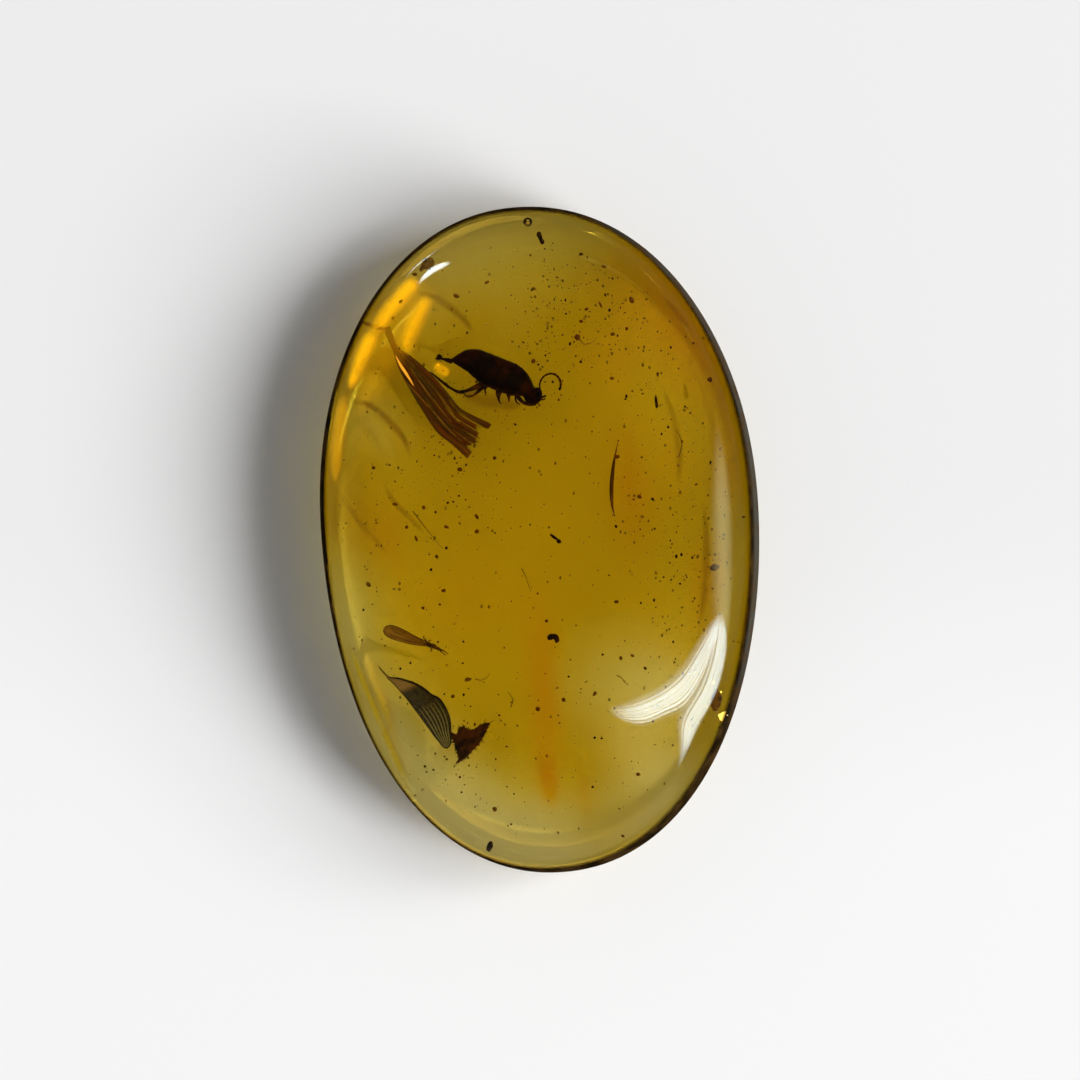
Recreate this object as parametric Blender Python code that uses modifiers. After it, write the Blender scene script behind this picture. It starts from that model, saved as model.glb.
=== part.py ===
"""A polished oval of clear amber with a small beetle and scraps of plants sealed inside it.

The long axis lies along Y and the flat base on Z = 0, with the origin under the middle of the oval.
The amber is parted in two by one level saw cut, so each sealed piece lies in a pocket that is open
at the cut. Lengths are millimetres here, and MM turns them into metres where a mesh is made.
"""

import math
import random

import bmesh
import bpy
from mathutils import Matrix, Vector

MM = 0.001

# The amber, seen from above: an oval, a little squarer than an ellipse, leaning to the left.
HALF_WIDTH = 9.82
HALF_LENGTH = 15.05
SQUARENESS = 2.11
LEAN = math.radians(3.25)
EGG = 0.011
EGG_TOWARDS = math.radians(137.0)
CORNERS = 0.0094
CORNERS_AT = math.radians(148.6)

# The amber, seen from the side: a flat base, a rounded girdle and a dome with a broad flat top.
THICKNESS = 8.2
GIRDLE_HEIGHT = 3.3
BASE_SHARE = 0.76
SOLE_POWER = 2.3
DOME_FALL = 3.2
DOME_POWER = 2.6
RIM_POWER = 60.0
DOME_SHIFT = Vector((-0.35, 0.15, 0.0))
OUTLINE_STEPS = 72
HEIGHT_STEPS = 26

# The saw cut that parts the amber, and the room around each sealed piece.
CUT_HEIGHT = 4.2
CUT_GAP = 0.3
CLEARANCE = 0.3
POCKET_ROUNDING = 0.25

# The beetle lies on its side: X runs to its head, Y to its back and Z across its body.
BEETLE_AT = (-1.96, 7.09, 4.3)
BEETLE_TURN = math.radians(-25.5)
BODY_HALF_LENGTH = 1.95
BODY_HALF_WIDTH = 0.62
BACK_RISE = 0.90
BELLY_DROP = 0.63
HEAD_RADIUS = 0.30
NEAR_SIDE = 0.22
FAR_SIDE = -0.22

# The fan of plant fibres: X runs from its narrow tip to its ragged end.
FAN_AT = (-6.55, 9.30, 3.75)
FAN_TURN = math.radians(-50.0)
FAN_STRIP_ENDS = (6.7, 6.35, 6.55, 6.45, 6.2, 6.1)
FAN_TIP_HALF_WIDTH = 0.12
FAN_SPREAD = 0.125
FAN_PLEAT = 0.13
FAN_THICKNESS = 0.14
FAN_STEPS = 12

# The small winged insect: X runs from its folded wings to its head.
SMALL_INSECT_AT = (-4.75, -4.55, 4.2)
SMALL_INSECT_TURN = math.radians(-19.0)

WING_AT = (-5.2, -7.2, 4.36)
WING_THICKNESS = 0.12
FLAKE_AT = (-3.0, -8.8, 3.85)
FLAKE_THICKNESS = 0.22
HAIR_AT = (3.12, 2.75, 4.2)
HAIR_RADIUS = 0.09

# Crumbs of bark: place, half sizes along their own X, Y and Z, and turn about Z in degrees.
CRUMBS = {
    "rim_bark_crumb": ((-4.93, 12.12, 4.2), (0.42, 0.26, 0.22), 22.0),
    "right_bark_crumb": ((7.60, -7.10, 4.2), (0.24, 0.50, 0.25), -12.0),
    "top_bark_splinter": ((0.00, 13.32, 4.2), (0.13, 0.36, 0.12), 14.0),
    "right_bark_splinter": ((4.86, 6.05, 4.2), (0.09, 0.32, 0.09), 4.0),
    "middle_bark_splinter": ((0.68, 0.07, 4.2), (0.27, 0.12, 0.11), -38.0),
    "frass_pellet": ((0.56, -4.26, 4.2), (0.24, 0.28, 0.20), 25.0),
    "seed": ((-2.16, -13.52, 4.2), (0.15, 0.24, 0.14), -15.0),
}
CRUMB_ROUGHNESS = 0.16


def finish(name, colour, roughness, transmission=0.0):
    """A Principled material of one colour."""
    material = bpy.data.materials.new(name)
    material.use_nodes = True
    shader = material.node_tree.nodes["Principled BSDF"]
    shader.inputs["Base Color"].default_value = (*colour, 1.0)
    shader.inputs["Roughness"].default_value = roughness
    shader.inputs["Metallic"].default_value = 0.0
    shader.inputs["Transmission Weight"].default_value = transmission
    material.diffuse_color = (*colour, 1.0)
    return material


def placed(name, shape, collection, location=(0.0, 0.0, 0.0), turn=0.0):
    """An object for a finished bmesh, set at a place in millimetres and turned about Z."""
    mesh = bpy.data.meshes.new(name)
    shape.to_mesh(mesh)
    shape.free()
    piece = bpy.data.objects.new(name, mesh)
    piece.location = Vector(location) * MM
    piece.rotation_euler.z = turn
    collection.objects.link(piece)
    return piece


def as_cutter(piece):
    """Mark a helper solid, so that it is neither rendered nor read as a part."""
    piece.hide_render = True
    piece.display_type = "WIRE"
    return piece


def boolean(piece, other, operation):
    """Join, cut or intersect a piece with another solid."""
    modifier = piece.modifiers.new(other.name, "BOOLEAN")
    modifier.operation = operation
    modifier.solver = "EXACT"
    modifier.object = other


def smooth(piece, angle=math.radians(40.0)):
    """Shade a round piece smooth, with its sharp edges kept."""
    piece.data.shade_smooth()
    piece.data.set_sharp_from_angle(angle=angle)


def outline_radius(azimuth):
    """How far the amber reaches from its middle in one direction, seen from above."""
    across = abs(math.cos(azimuth - LEAN) / HALF_WIDTH) ** SQUARENESS
    along = abs(math.sin(azimuth - LEAN) / HALF_LENGTH) ** SQUARENESS
    oval = (across + along) ** (-1.0 / SQUARENESS)
    egg = EGG * math.cos(azimuth - EGG_TOWARDS)
    corners = CORNERS * math.cos(3.0 * (azimuth - CORNERS_AT))
    return oval * (1.0 + egg + corners)


def amber_point(direction):
    """The point of the amber's surface that a point of the unit sphere is moved to."""
    azimuth = math.atan2(direction.y, direction.x)
    polar = math.acos(max(-1.0, min(1.0, direction.z)))
    quarter = math.pi / 2.0
    shift = Vector((0.0, 0.0, 0.0))
    if polar < quarter:
        share = math.sin(polar) ** (2.0 / DOME_POWER)
        dome = THICKNESS - GIRDLE_HEIGHT - DOME_FALL * share ** DOME_POWER
        height = GIRDLE_HEIGHT + dome * math.sqrt(max(0.0, 1.0 - share ** RIM_POWER))
        lift = (height - GIRDLE_HEIGHT) / (THICKNESS - GIRDLE_HEIGHT)
        shift = DOME_SHIFT * (1.0 - (1.0 - lift) ** 3.0)
    else:
        ring_step = math.pi / HEIGHT_STEPS
        fall = min(1.0, (polar - quarter) / (quarter - ring_step)) * quarter
        share = BASE_SHARE + (1.0 - BASE_SHARE) * max(0.0, math.cos(fall)) ** (2.0 / SOLE_POWER)
        height = GIRDLE_HEIGHT * (1.0 - math.sin(fall) ** (2.0 / SOLE_POWER))
    reach = outline_radius(azimuth) * share
    return Vector((reach * math.cos(azimuth), reach * math.sin(azimuth), height)) + shift


def amber_blank():
    """The whole polished oval, before it is parted, with its base as one flat face."""
    shape = bmesh.new()
    bmesh.ops.create_uvsphere(shape, u_segments=OUTLINE_STEPS, v_segments=HEIGHT_STEPS, radius=1.0)
    lowest = min(shape.verts, key=lambda vert: vert.co.z)
    bmesh.ops.dissolve_verts(shape, verts=[lowest])
    for vert in shape.verts:
        vert.co = amber_point(vert.co) * MM
    xs = [vert.co.x for vert in shape.verts]
    ys = [vert.co.y for vert in shape.verts]
    middle = Vector(((min(xs) + max(xs)) / 2.0, (min(ys) + max(ys)) / 2.0, 0.0))
    bmesh.ops.translate(shape, verts=shape.verts, vec=-middle)
    return shape


def slab(name, bottom, top, collection):
    """A box wider than the amber, between two heights, that keeps one half of it."""
    shape = bmesh.new()
    bmesh.ops.create_cube(shape, size=1.0)
    size = Vector((4.0 * HALF_WIDTH, 4.0 * HALF_LENGTH, top - bottom)) * MM
    bmesh.ops.scale(shape, vec=size, verts=shape.verts)
    return as_cutter(placed(name, shape, collection, (0.0, 0.0, (bottom + top) / 2.0)))


def pocket_around(piece, collection):
    """A rounded box with room on all sides of a sealed piece, turned as the piece is."""
    evaluated = piece.evaluated_get(bpy.context.evaluated_depsgraph_get())
    corners = [Vector(corner) for corner in evaluated.bound_box]
    lows = Vector([min(corner[axis] for corner in corners) for axis in range(3)])
    highs = Vector([max(corner[axis] for corner in corners) for axis in range(3)])
    shape = bmesh.new()
    bmesh.ops.create_cube(shape, size=1.0)
    room = Vector((2.0, 2.0, 2.0)) * CLEARANCE * MM
    bmesh.ops.scale(shape, vec=highs - lows + room, verts=shape.verts)
    bmesh.ops.translate(shape, vec=(lows + highs) / 2.0, verts=shape.verts)
    cutter = placed(f"pocket_{piece.name}", shape, collection)
    cutter.matrix_world = piece.matrix_world.copy()
    rounding = cutter.modifiers.new("rounding", "BEVEL")
    rounding.width = POCKET_ROUNDING * MM
    rounding.segments = 2
    return as_cutter(cutter)


def limb(name, points, radius, radii, collection, resolution=1):
    """A leg, feeler or hair: a bevelled curve through its points, as one closed mesh."""
    curve = bpy.data.curves.new(name, "CURVE")
    curve.dimensions = "3D"
    curve.bevel_depth = radius * MM
    curve.bevel_resolution = resolution
    curve.use_fill_caps = True
    spline = curve.splines.new("POLY")
    spline.points.add(len(points) - 1)
    for point, place, share in zip(spline.points, points, radii):
        point.co = (*(Vector(place) * MM), 1.0)
        point.radius = share
    drawn = bpy.data.objects.new(f"{name}_curve", curve)
    collection.objects.link(drawn)
    return curve_to_mesh(drawn, name, collection)


def curve_to_mesh(drawn, name, collection):
    """Turn a curve object into a closed mesh object with its caps welded."""
    bpy.context.view_layer.update()
    depsgraph = bpy.context.evaluated_depsgraph_get()
    mesh = bpy.data.meshes.new_from_object(drawn.evaluated_get(depsgraph))
    shape = bmesh.new()
    shape.from_mesh(mesh)
    bmesh.ops.remove_doubles(shape, verts=shape.verts, dist=0.002 * MM)
    bmesh.ops.recalc_face_normals(shape, faces=shape.faces)
    shape.to_mesh(mesh)
    shape.free()
    piece = bpy.data.objects.new(name, mesh)
    piece.matrix_world = drawn.matrix_world
    collection.objects.link(piece)
    bpy.data.objects.remove(drawn)
    return piece


def flat_scrap(name, outline, thickness, collection):
    """A thin flat scrap: a filled outline with an even thickness."""
    curve = bpy.data.curves.new(name, "CURVE")
    curve.dimensions = "2D"
    curve.fill_mode = "BOTH"
    curve.extrude = thickness / 2.0 * MM
    spline = curve.splines.new("POLY")
    spline.points.add(len(outline) - 1)
    for point, (across, along) in zip(spline.points, outline):
        point.co = (across * MM, along * MM, 0.0, 1.0)
    spline.use_cyclic_u = True
    drawn = bpy.data.objects.new(f"{name}_curve", curve)
    collection.objects.link(drawn)
    return curve_to_mesh(drawn, name, collection)


def ball(name, centre, half_sizes, collection, steps=(14, 9)):
    """An ellipsoid."""
    shape = bmesh.new()
    bmesh.ops.create_uvsphere(shape, u_segments=steps[0], v_segments=steps[1], radius=1.0)
    bmesh.ops.scale(shape, vec=Vector(half_sizes) * MM, verts=shape.verts)
    bmesh.ops.translate(shape, vec=Vector(centre) * MM, verts=shape.verts)
    return placed(name, shape, collection)


def beetle_body(collection):
    """The hump-backed body with its wing cases shut: a sphere drawn out between tail and head."""
    shape = bmesh.new()
    turn = Matrix.Rotation(math.pi / 2.0, 4, "Y")
    bmesh.ops.create_uvsphere(shape, u_segments=24, v_segments=18, radius=1.0, matrix=turn)
    for vert in shape.verts:
        along, rise, across = vert.co
        if rise >= 0.0:
            rise *= BACK_RISE
        else:
            rise *= BELLY_DROP * (1.0 - 0.35 * abs(along))
        vert.co = Vector((along * BODY_HALF_LENGTH, rise, across * BODY_HALF_WIDTH)) * MM
    return placed("beetle", shape, collection)


def beetle(collection, helpers):
    """The beetle, with its head, feelers, six legs and tail spike grown onto its body."""
    body = beetle_body(collection)
    head = ball("beetle_head", (1.90, -0.02, 0.0), (HEAD_RADIUS, 0.33, 0.34), helpers)
    near = NEAR_SIDE
    far = FAR_SIDE
    tail = ((-1.75, 0.05, 0.0), (-2.10, -0.05, 0.0), (-2.50, -0.14, 0.0))
    feeler = ((1.80, 0.10, near), (1.80, 0.52, near), (1.96, 1.02, near), (2.12, 1.19, near),
              (2.41, 1.20, near), (2.59, 1.00, near), (2.70, 0.72, near))
    far_feeler = ((2.00, 0.05, far), (2.25, 0.02, far), (2.42, -0.12, far))
    hind_leg = ((-0.20, -0.35, near), (-0.74, -0.83, near), (-1.00, -1.10, near), (-1.25, -1.26, near),
                (-1.62, -1.29, near), (-1.98, -1.23, near), (-2.39, -1.08, near), (-2.62, -1.02, near))
    far_hind_leg = ((0.00, -0.35, far), (-0.31, -0.90, far), (-0.51, -1.13, far), (-0.86, -1.20, far))
    middle_leg = ((0.42, -0.35, near), (0.52, -0.66, near), (0.67, -0.83, near))
    far_middle_leg = ((0.05, -0.35, far), (0.02, -0.72, far), (0.08, -0.92, far))
    front_leg = ((1.20, -0.12, near), (1.32, -0.34, near), (1.66, -0.50, near), (2.00, -0.49, near),
                 (2.22, -0.30, near))
    far_front_leg = ((0.90, -0.20, far), (1.00, -0.50, far), (1.08, -0.70, far))
    limbs = {
        "tail_spike": (tail, 0.09, (1.0, 0.7, 0.4)),
        "feeler": (feeler, 0.055, (1.0, 0.9, 0.9, 0.9, 0.9, 0.95, 1.0)),
        "far_feeler": (far_feeler, 0.055, (1.0, 0.9, 0.8)),
        "hind_leg": (hind_leg, 0.12, (1.0, 1.0, 0.7, 0.55, 0.5, 0.45, 0.4, 0.35)),
        "far_hind_leg": (far_hind_leg, 0.11, (1.0, 0.9, 0.6, 0.4)),
        "middle_leg": (middle_leg, 0.12, (1.0, 0.9, 0.5)),
        "far_middle_leg": (far_middle_leg, 0.10, (1.0, 0.8, 0.4)),
        "front_leg": (front_leg, 0.085, (1.0, 1.0, 0.8, 0.7, 0.6)),
        "far_front_leg": (far_front_leg, 0.09, (1.0, 0.8, 0.5)),
    }
    boolean(body, as_cutter(head), "UNION")
    for name, (points, radius, radii) in limbs.items():
        part = limb(f"beetle_{name}", points, radius, radii, helpers)
        boolean(body, as_cutter(part), "UNION")
    body.location = Vector(BEETLE_AT) * MM
    body.rotation_euler.z = BEETLE_TURN
    for part in helpers.objects:
        if part.name.startswith("beetle_"):
            part.location = body.location
            part.rotation_euler = body.rotation_euler
    body.data.materials.append(finish("beetle_shell", (0.022, 0.010, 0.004), 0.45))
    smooth(body)
    return body


def plant_fan(collection):
    """A fan of plant fibres: one pleated sheet whose strips end at unlike lengths."""
    columns = 2 * len(FAN_STRIP_ENDS)
    shape = bmesh.new()
    bmesh.ops.create_grid(shape, x_segments=FAN_STEPS, y_segments=columns, size=1.0)
    for vert in shape.verts:
        share = (vert.co.x + 1.0) / 2.0
        column = round((vert.co.y + 1.0) / 2.0 * columns)
        strip = min(column // 2, len(FAN_STRIP_ENDS) - 1)
        along = share * FAN_STRIP_ENDS[strip]
        half_width = FAN_TIP_HALF_WIDTH + FAN_SPREAD * along
        middle = -0.22 + 0.22 * math.cos(share * 2.0 * math.pi)
        pleat = FAN_PLEAT * (1.0 if column % 2 else -1.0) * min(1.0, 0.3 + share)
        vert.co = Vector((along, middle + vert.co.y * half_width, pleat)) * MM
    fan = placed("plant_fan", shape, collection, FAN_AT, FAN_TURN)
    wall = fan.modifiers.new("thickness", "SOLIDIFY")
    wall.thickness = FAN_THICKNESS * MM
    wall.offset = 0.0
    fan.data.materials.append(finish("plant_fibre", (0.16, 0.045, 0.012), 0.55))
    return fan


def small_winged_insect(collection, helpers):
    """A gnat-sized insect with its wings folded back in one club over its body."""
    shape = bmesh.new()
    turn = Matrix.Rotation(math.pi / 2.0, 4, "Y")
    bmesh.ops.create_uvsphere(shape, u_segments=14, v_segments=14, radius=1.0, matrix=turn)
    for vert in shape.verts:
        along, rise, across = vert.co
        widening = 0.80 - 0.30 * along
        vert.co = Vector((along * 1.02 - 1.05, rise * 0.29 * widening, across * 0.18)) * MM
    wings = placed("small_winged_insect", shape, collection)
    thorax = ball("small_insect_thorax", (0.05, 0.0, 0.0), (0.20, 0.13, 0.14), helpers, (10, 7))
    head = ball("small_insect_head", (0.30, -0.03, 0.0), (0.14, 0.11, 0.12), helpers, (10, 7))
    snout_points = ((0.30, -0.03, 0.0), (0.60, -0.10, 0.0), (0.90, -0.16, 0.0))
    snout = limb("small_insect_feelers", snout_points, 0.06, (1.0, 0.8, 0.5), helpers)
    leg_points = ((0.00, 0.02, 0.0), (-0.16, 0.20, 0.0), (-0.30, 0.34, 0.0))
    leg = limb("small_insect_leg", leg_points, 0.06, (1.0, 0.9, 0.8), helpers)
    for part in (thorax, head, snout, leg):
        boolean(wings, as_cutter(part), "UNION")
    for part in (wings, thorax, head, snout, leg):
        part.location = Vector(SMALL_INSECT_AT) * MM
        part.rotation_euler.z = SMALL_INSECT_TURN
    wings.data.materials.append(finish("brown_membrane", (0.20, 0.08, 0.02), 0.5))
    smooth(wings)
    return wings


def loose_wing(collection):
    """A shed wing: a half moon with a bowed front edge, a straight rear edge and a thin stalk."""
    outline = (
        (-1.70, 1.66), (-1.50, 1.36), (-1.22, 1.15), (-0.84, 1.15), (-0.36, 1.02), (0.14, 0.77),
        (0.58, 0.42), (0.88, 0.29), (1.12, -0.01), (1.31, -0.41), (1.39, -0.81), (1.40, -1.30),
        (1.36, -1.70), (1.24, -1.90), (1.05, -1.82), (0.67, -1.31), (0.24, -0.71), (-0.20, -0.11),
        (-0.60, 0.39), (-0.94, 0.85), (-1.20, 1.06), (-1.50, 1.26),
    )
    wing = flat_scrap("loose_wing", outline, WING_THICKNESS, collection)
    wing.location = Vector(WING_AT) * MM
    wing.data.materials.append(finish("wing_membrane", (0.05, 0.035, 0.012), 0.4))
    return wing


def bark_flake(collection):
    """A ragged three-cornered flake of bark."""
    outline = (
        (-0.84, 0.37), (-0.63, 0.24), (-0.42, 0.46), (-0.24, 0.44), (-0.05, 0.58), (0.12, 0.54),
        (0.39, 0.66), (0.62, 0.68), (0.84, 0.80), (0.88, 0.70), (0.70, 0.44), (0.54, 0.24),
        (0.42, 0.04), (0.29, -0.18), (0.08, -0.40), (-0.05, -0.57), (-0.24, -0.68), (-0.39, -0.84),
        (-0.51, -0.94), (-0.46, -0.72), (-0.44, -0.55), (-0.56, -0.40), (-0.59, -0.20), (-0.66, 0.02),
        (-0.70, 0.18),
    )
    flake = flat_scrap("bark_flake", outline, FLAKE_THICKNESS, collection)
    flake.location = Vector(FLAKE_AT) * MM
    flake.data.materials.append(finish("bark", (0.07, 0.016, 0.006), 0.8))
    return flake


def curved_hair(collection):
    """A stout plant hair, bowed and tapering at both ends."""
    steps = 9
    points = []
    radii = []
    for step in range(steps):
        share = step / (steps - 1)
        bow = math.sin(math.pi * share)
        points.append((0.12 - 0.17 * bow, 1.64 - 3.28 * share, 0.0))
        radii.append(0.45 + 0.55 * bow)
    hair = limb("curved_hair", points, HAIR_RADIUS, radii, collection)
    hair.location = Vector(HAIR_AT) * MM
    hair.data.materials.append(finish("plant_hair", (0.18, 0.07, 0.015), 0.6))
    smooth(hair)
    return hair


def bark_crumb(name, place, half_sizes, degrees, material, collection):
    """A crumb of bark: a small ball with a rough, uneven skin."""
    dice = random.Random(name)
    shape = bmesh.new()
    bmesh.ops.create_icosphere(shape, subdivisions=2, radius=1.0)
    for vert in shape.verts:
        vert.co *= 1.0 - CRUMB_ROUGHNESS * dice.random()
    bmesh.ops.scale(shape, vec=Vector(half_sizes) * MM, verts=shape.verts)
    crumb = placed(name, shape, collection, place, math.radians(degrees))
    crumb.data.materials.append(material)
    return crumb


def amber_half(name, bottom, top, pockets, material, collection, helpers):
    """One half of the amber, between two heights, with every pocket cut from it."""
    half = placed(name, amber_blank(), collection)
    boolean(half, slab(f"{name}_range", bottom, top, helpers), "INTERSECT")
    for pocket in pockets:
        boolean(half, pocket, "DIFFERENCE")
    half.data.materials.append(material)
    smooth(half)
    return half


def insect_in_amber():
    """Clear the scene, make the sealed pieces, and part the amber around them."""
    for old in list(bpy.data.objects):
        bpy.data.objects.remove(old)
    parts = bpy.data.collections.new("insect_in_amber")
    helpers = bpy.data.collections.new("cutters")
    bpy.context.scene.collection.children.link(parts)
    bpy.context.scene.collection.children.link(helpers)

    sealed = [
        beetle(parts, helpers),
        plant_fan(parts),
        small_winged_insect(parts, helpers),
        loose_wing(parts),
        bark_flake(parts),
        curved_hair(parts),
    ]
    crumb_material = finish("bark_crumb", (0.05, 0.018, 0.006), 0.85)
    for name, (place, half_sizes, degrees) in CRUMBS.items():
        sealed.append(bark_crumb(name, place, half_sizes, degrees, crumb_material, parts))

    bpy.context.view_layer.update()
    pockets = [pocket_around(piece, helpers) for piece in sealed]
    amber = finish("amber", (0.80, 0.50, 0.06), 0.03, transmission=1.0)
    below_cut = CUT_HEIGHT - CUT_GAP / 2.0
    above_cut = CUT_HEIGHT + CUT_GAP / 2.0
    amber_half("amber_lower", -1.0, below_cut, pockets, amber, parts, helpers)
    amber_half("amber_upper", above_cut, THICKNESS + 1.0, pockets, amber, parts, helpers)


insect_in_amber()
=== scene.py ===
"""The looks of a polished oval of amber with a beetle and scraps of plants sealed in it.

Lengths are millimetres, and MM turns them into metres where a mesh is made. X runs to the right of
the oval, Y to its upper end, and Z up from its flat base.
"""

import math
import random

import bmesh
import bpy
from mathutils import Matrix, Vector


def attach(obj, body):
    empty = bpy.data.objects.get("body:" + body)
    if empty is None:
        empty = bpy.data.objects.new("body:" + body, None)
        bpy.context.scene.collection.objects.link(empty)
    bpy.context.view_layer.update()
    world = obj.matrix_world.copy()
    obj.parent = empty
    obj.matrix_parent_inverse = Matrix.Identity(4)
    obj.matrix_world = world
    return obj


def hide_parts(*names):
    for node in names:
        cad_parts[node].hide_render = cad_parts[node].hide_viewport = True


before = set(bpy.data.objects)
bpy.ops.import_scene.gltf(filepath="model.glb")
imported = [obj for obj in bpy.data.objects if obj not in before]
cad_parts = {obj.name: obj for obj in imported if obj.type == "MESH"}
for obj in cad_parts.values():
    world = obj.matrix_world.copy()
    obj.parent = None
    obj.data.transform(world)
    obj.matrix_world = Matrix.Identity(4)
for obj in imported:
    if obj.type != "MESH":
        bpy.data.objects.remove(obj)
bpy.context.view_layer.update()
MM = 0.001

# --- The amber -----------------------------------------------------------------------------------
# One lump of hardened tree resin, ground to an oval with a flat base and a domed top, and polished
# all over. It is clear, with paler and browner layers where the resin flowed. A dark band of
# painted shade round its girdle stands in for the dark that its steep edge shows, and keeps light
# from leaving through the sides. On its right the band is painted grey, as a painted reflection.
# Towards most of the rim the resin's tint is painted paler, as painted light.

HALF_WIDTH = 9.82
HALF_LENGTH = 15.05
SQUARENESS = 2.11
LEAN = math.radians(3.25)
EGG = 0.011
EGG_TOWARDS = math.radians(137.0)
CORNERS = 0.0094
CORNERS_AT = math.radians(148.6)
THICKNESS = 8.2
GIRDLE_HEIGHT = 3.3
BASE_SHARE = 0.76
SOLE_POWER = 2.3
DOME_FALL = 3.2
DOME_POWER = 2.6
RIM_POWER = 60.0
DOME_SHIFT = Vector((-0.35, 0.15, 0.0))
DOME_SHIFT_POWER = 3.0
OUTLINE_STEPS = 240
HEIGHT_STEPS = 110

AMBER_IOR = 1.54
DEEP_RESIN = (0.80, 0.638, 0.047)
PALE_RESIN = (0.92, 0.885, 0.62)
BROWN_RESIN = (0.84, 0.50, 0.02)
RUDDY_RESIN = (0.97, 0.60, 0.03)
# Painted light: the resin's tint is made paler towards the rim, except towards the upper right.
EDGE_LIGHT_GAMMA = 0.6
EDGE_LIGHT_START = 0.78
EDGE_LIGHT_FADE = 0.17
UNLIT_EDGE_TOWARDS = math.radians(40.0)
UNLIT_EDGE_SPREAD = math.radians(24.0)
UNLIT_EDGE_FADE = math.radians(20.0)
# Colours and grain of the band of painted shade round the girdle, and of its painted grey reflection.
SHADE_BAND_TINT = (0.05, 0.028, 0.006)
SHADE_BAND_DARK = (0.010, 0.006, 0.002)
REFLECTION_BAND_GREY = (0.060, 0.054, 0.042)
SHADE_BAND_BROWN = (0.058, 0.030, 0.009)
SHADE_BAND_GRAIN = 1100.0
SHADE_BAND_RELIEF = 0.04
SHADE_BAND_RELIEF_STRENGTH = 0.7
SHADE_BAND_BROWN_RANGE = (0.42, 0.72)
# Where the band of painted shade is grey as a painted reflection: near its top edge, on its right.
REFLECTION_BAND_WIDTH = 0.20
REFLECTION_BAND_FADE = 0.14
REFLECTION_BAND_TOWARDS = math.radians(20.0)
REFLECTION_SIDE_START = 0.35
REFLECTION_SIDE_FADE = 0.4
RESIN_COLOUR = (0.935, 0.85, 0.45, 1.0)
RESIN_DENSITY = 121.0

# The band of painted shade round the girdle: how far it comes up over the edge of the dome, how
# softly it ends there, how much wider it grows towards the upper left, how low it reaches, how
# softly it ends below, and past which share a face is opaque.
SHADE_BAND_WIDTH = 0.20
SHADE_BAND_FADE = 0.14
SHADE_BAND_UPPER_LEFT = 0.22
SHADE_BAND_WIDEST_AT = math.radians(150.0)
SHADE_BAND_LOWEST = 2.75
SHADE_BAND_LOW_FADE = 0.8
OPAQUE_SHADE_BAND = 0.999

# Layers of resin that flowed together: centre, half sizes, turn in degrees and strength.
BROWN_CLOUDS = (
    ((4.1, 10.6), (3.6, 2.6), -38.0, 0.50),
    ((3.0, 8.0), (2.6, 2.6), 0.0, 0.30),
    ((3.5, 2.3), (1.3, 4.6), 6.0, 0.42),
    ((6.9, -1.9), (0.8, 3.6), -4.0, 0.75),
    ((5.6, 3.6), (1.0, 2.8), 12.0, 0.30),
    ((0.1, -6.4), (1.3, 6.4), 2.0, 0.50),
    ((0.4, -10.2), (0.7, 1.3), 10.0, 0.85),
    ((1.9, -10.8), (0.5, 2.2), 8.0, 0.25),
    ((-6.9, 0.9), (1.5, 3.6), 24.0, 0.45),
    ((-3.4, -2.6), (3.6, 3.2), 0.0, 0.22),
    ((-7.9, 4.5), (0.7, 2.6), -4.0, 0.55),
    ((-6.85, -7.6), (0.55, 4.4), 24.0, 1.0),
)
RUDDY_CLOUDS = (
    ((6.1, 8.9), (2.0, 6.6), 27.0, 1.0),
    ((7.9, 3.4), (1.1, 3.4), 10.0, 0.6),
)
PALE_CLOUDS = (
    ((-8.4, -3.2), (3.0, 4.6), 8.0, 1.0),
    ((-6.6, -6.8), (2.6, 4.4), 24.0, 0.7),
    ((-5.0, -9.6), (3.2, 4.6), 34.0, 0.9),
    ((-2.4, -12.6), (5.2, 4.2), 0.0, 1.1),
    ((1.4, -13.0), (3.4, 3.4), 0.0, 0.6),
    ((4.8, -10.8), (3.6, 4.2), 30.0, 0.8),
    ((3.2, -6.2), (3.6, 4.0), 0.0, 0.7),
    ((5.2, -6.6), (2.4, 2.6), 0.0, 0.4),
    ((-4.2, 12.0), (4.6, 3.4), 24.0, 0.55),
    ((-0.2, 12.6), (4.6, 3.6), -10.0, 0.40),
    ((-1.4, 9.6), (3.0, 3.0), 0.0, 0.16),
    ((-7.0, 5.0), (1.7, 2.4), 34.0, 0.45),
    ((8.2, -0.5), (1.3, 6.5), 0.0, 0.35),
)
CLOUD_WARP = 0.9
CLOUD_WARP_SCALE = 170.0
CLOUD_WARP_DETAIL = 3.0
STREAK_SCALE = (420.0, 60.0, 60.0)
STREAK_DETAIL = 5.0
STREAK_RANGE = (0.35, 0.75)
STREAK_DEPTH = (0.35, 1.7)


def outline_radius(azimuth):
    """How far the amber reaches from its middle in one direction, seen from above."""
    across = abs(math.cos(azimuth - LEAN) / HALF_WIDTH) ** SQUARENESS
    along = abs(math.sin(azimuth - LEAN) / HALF_LENGTH) ** SQUARENESS
    oval = (across + along) ** (-1.0 / SQUARENESS)
    egg = EGG * math.cos(azimuth - EGG_TOWARDS)
    corners = CORNERS * math.cos(3.0 * (azimuth - CORNERS_AT))
    return oval * (1.0 + egg + corners)


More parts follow.
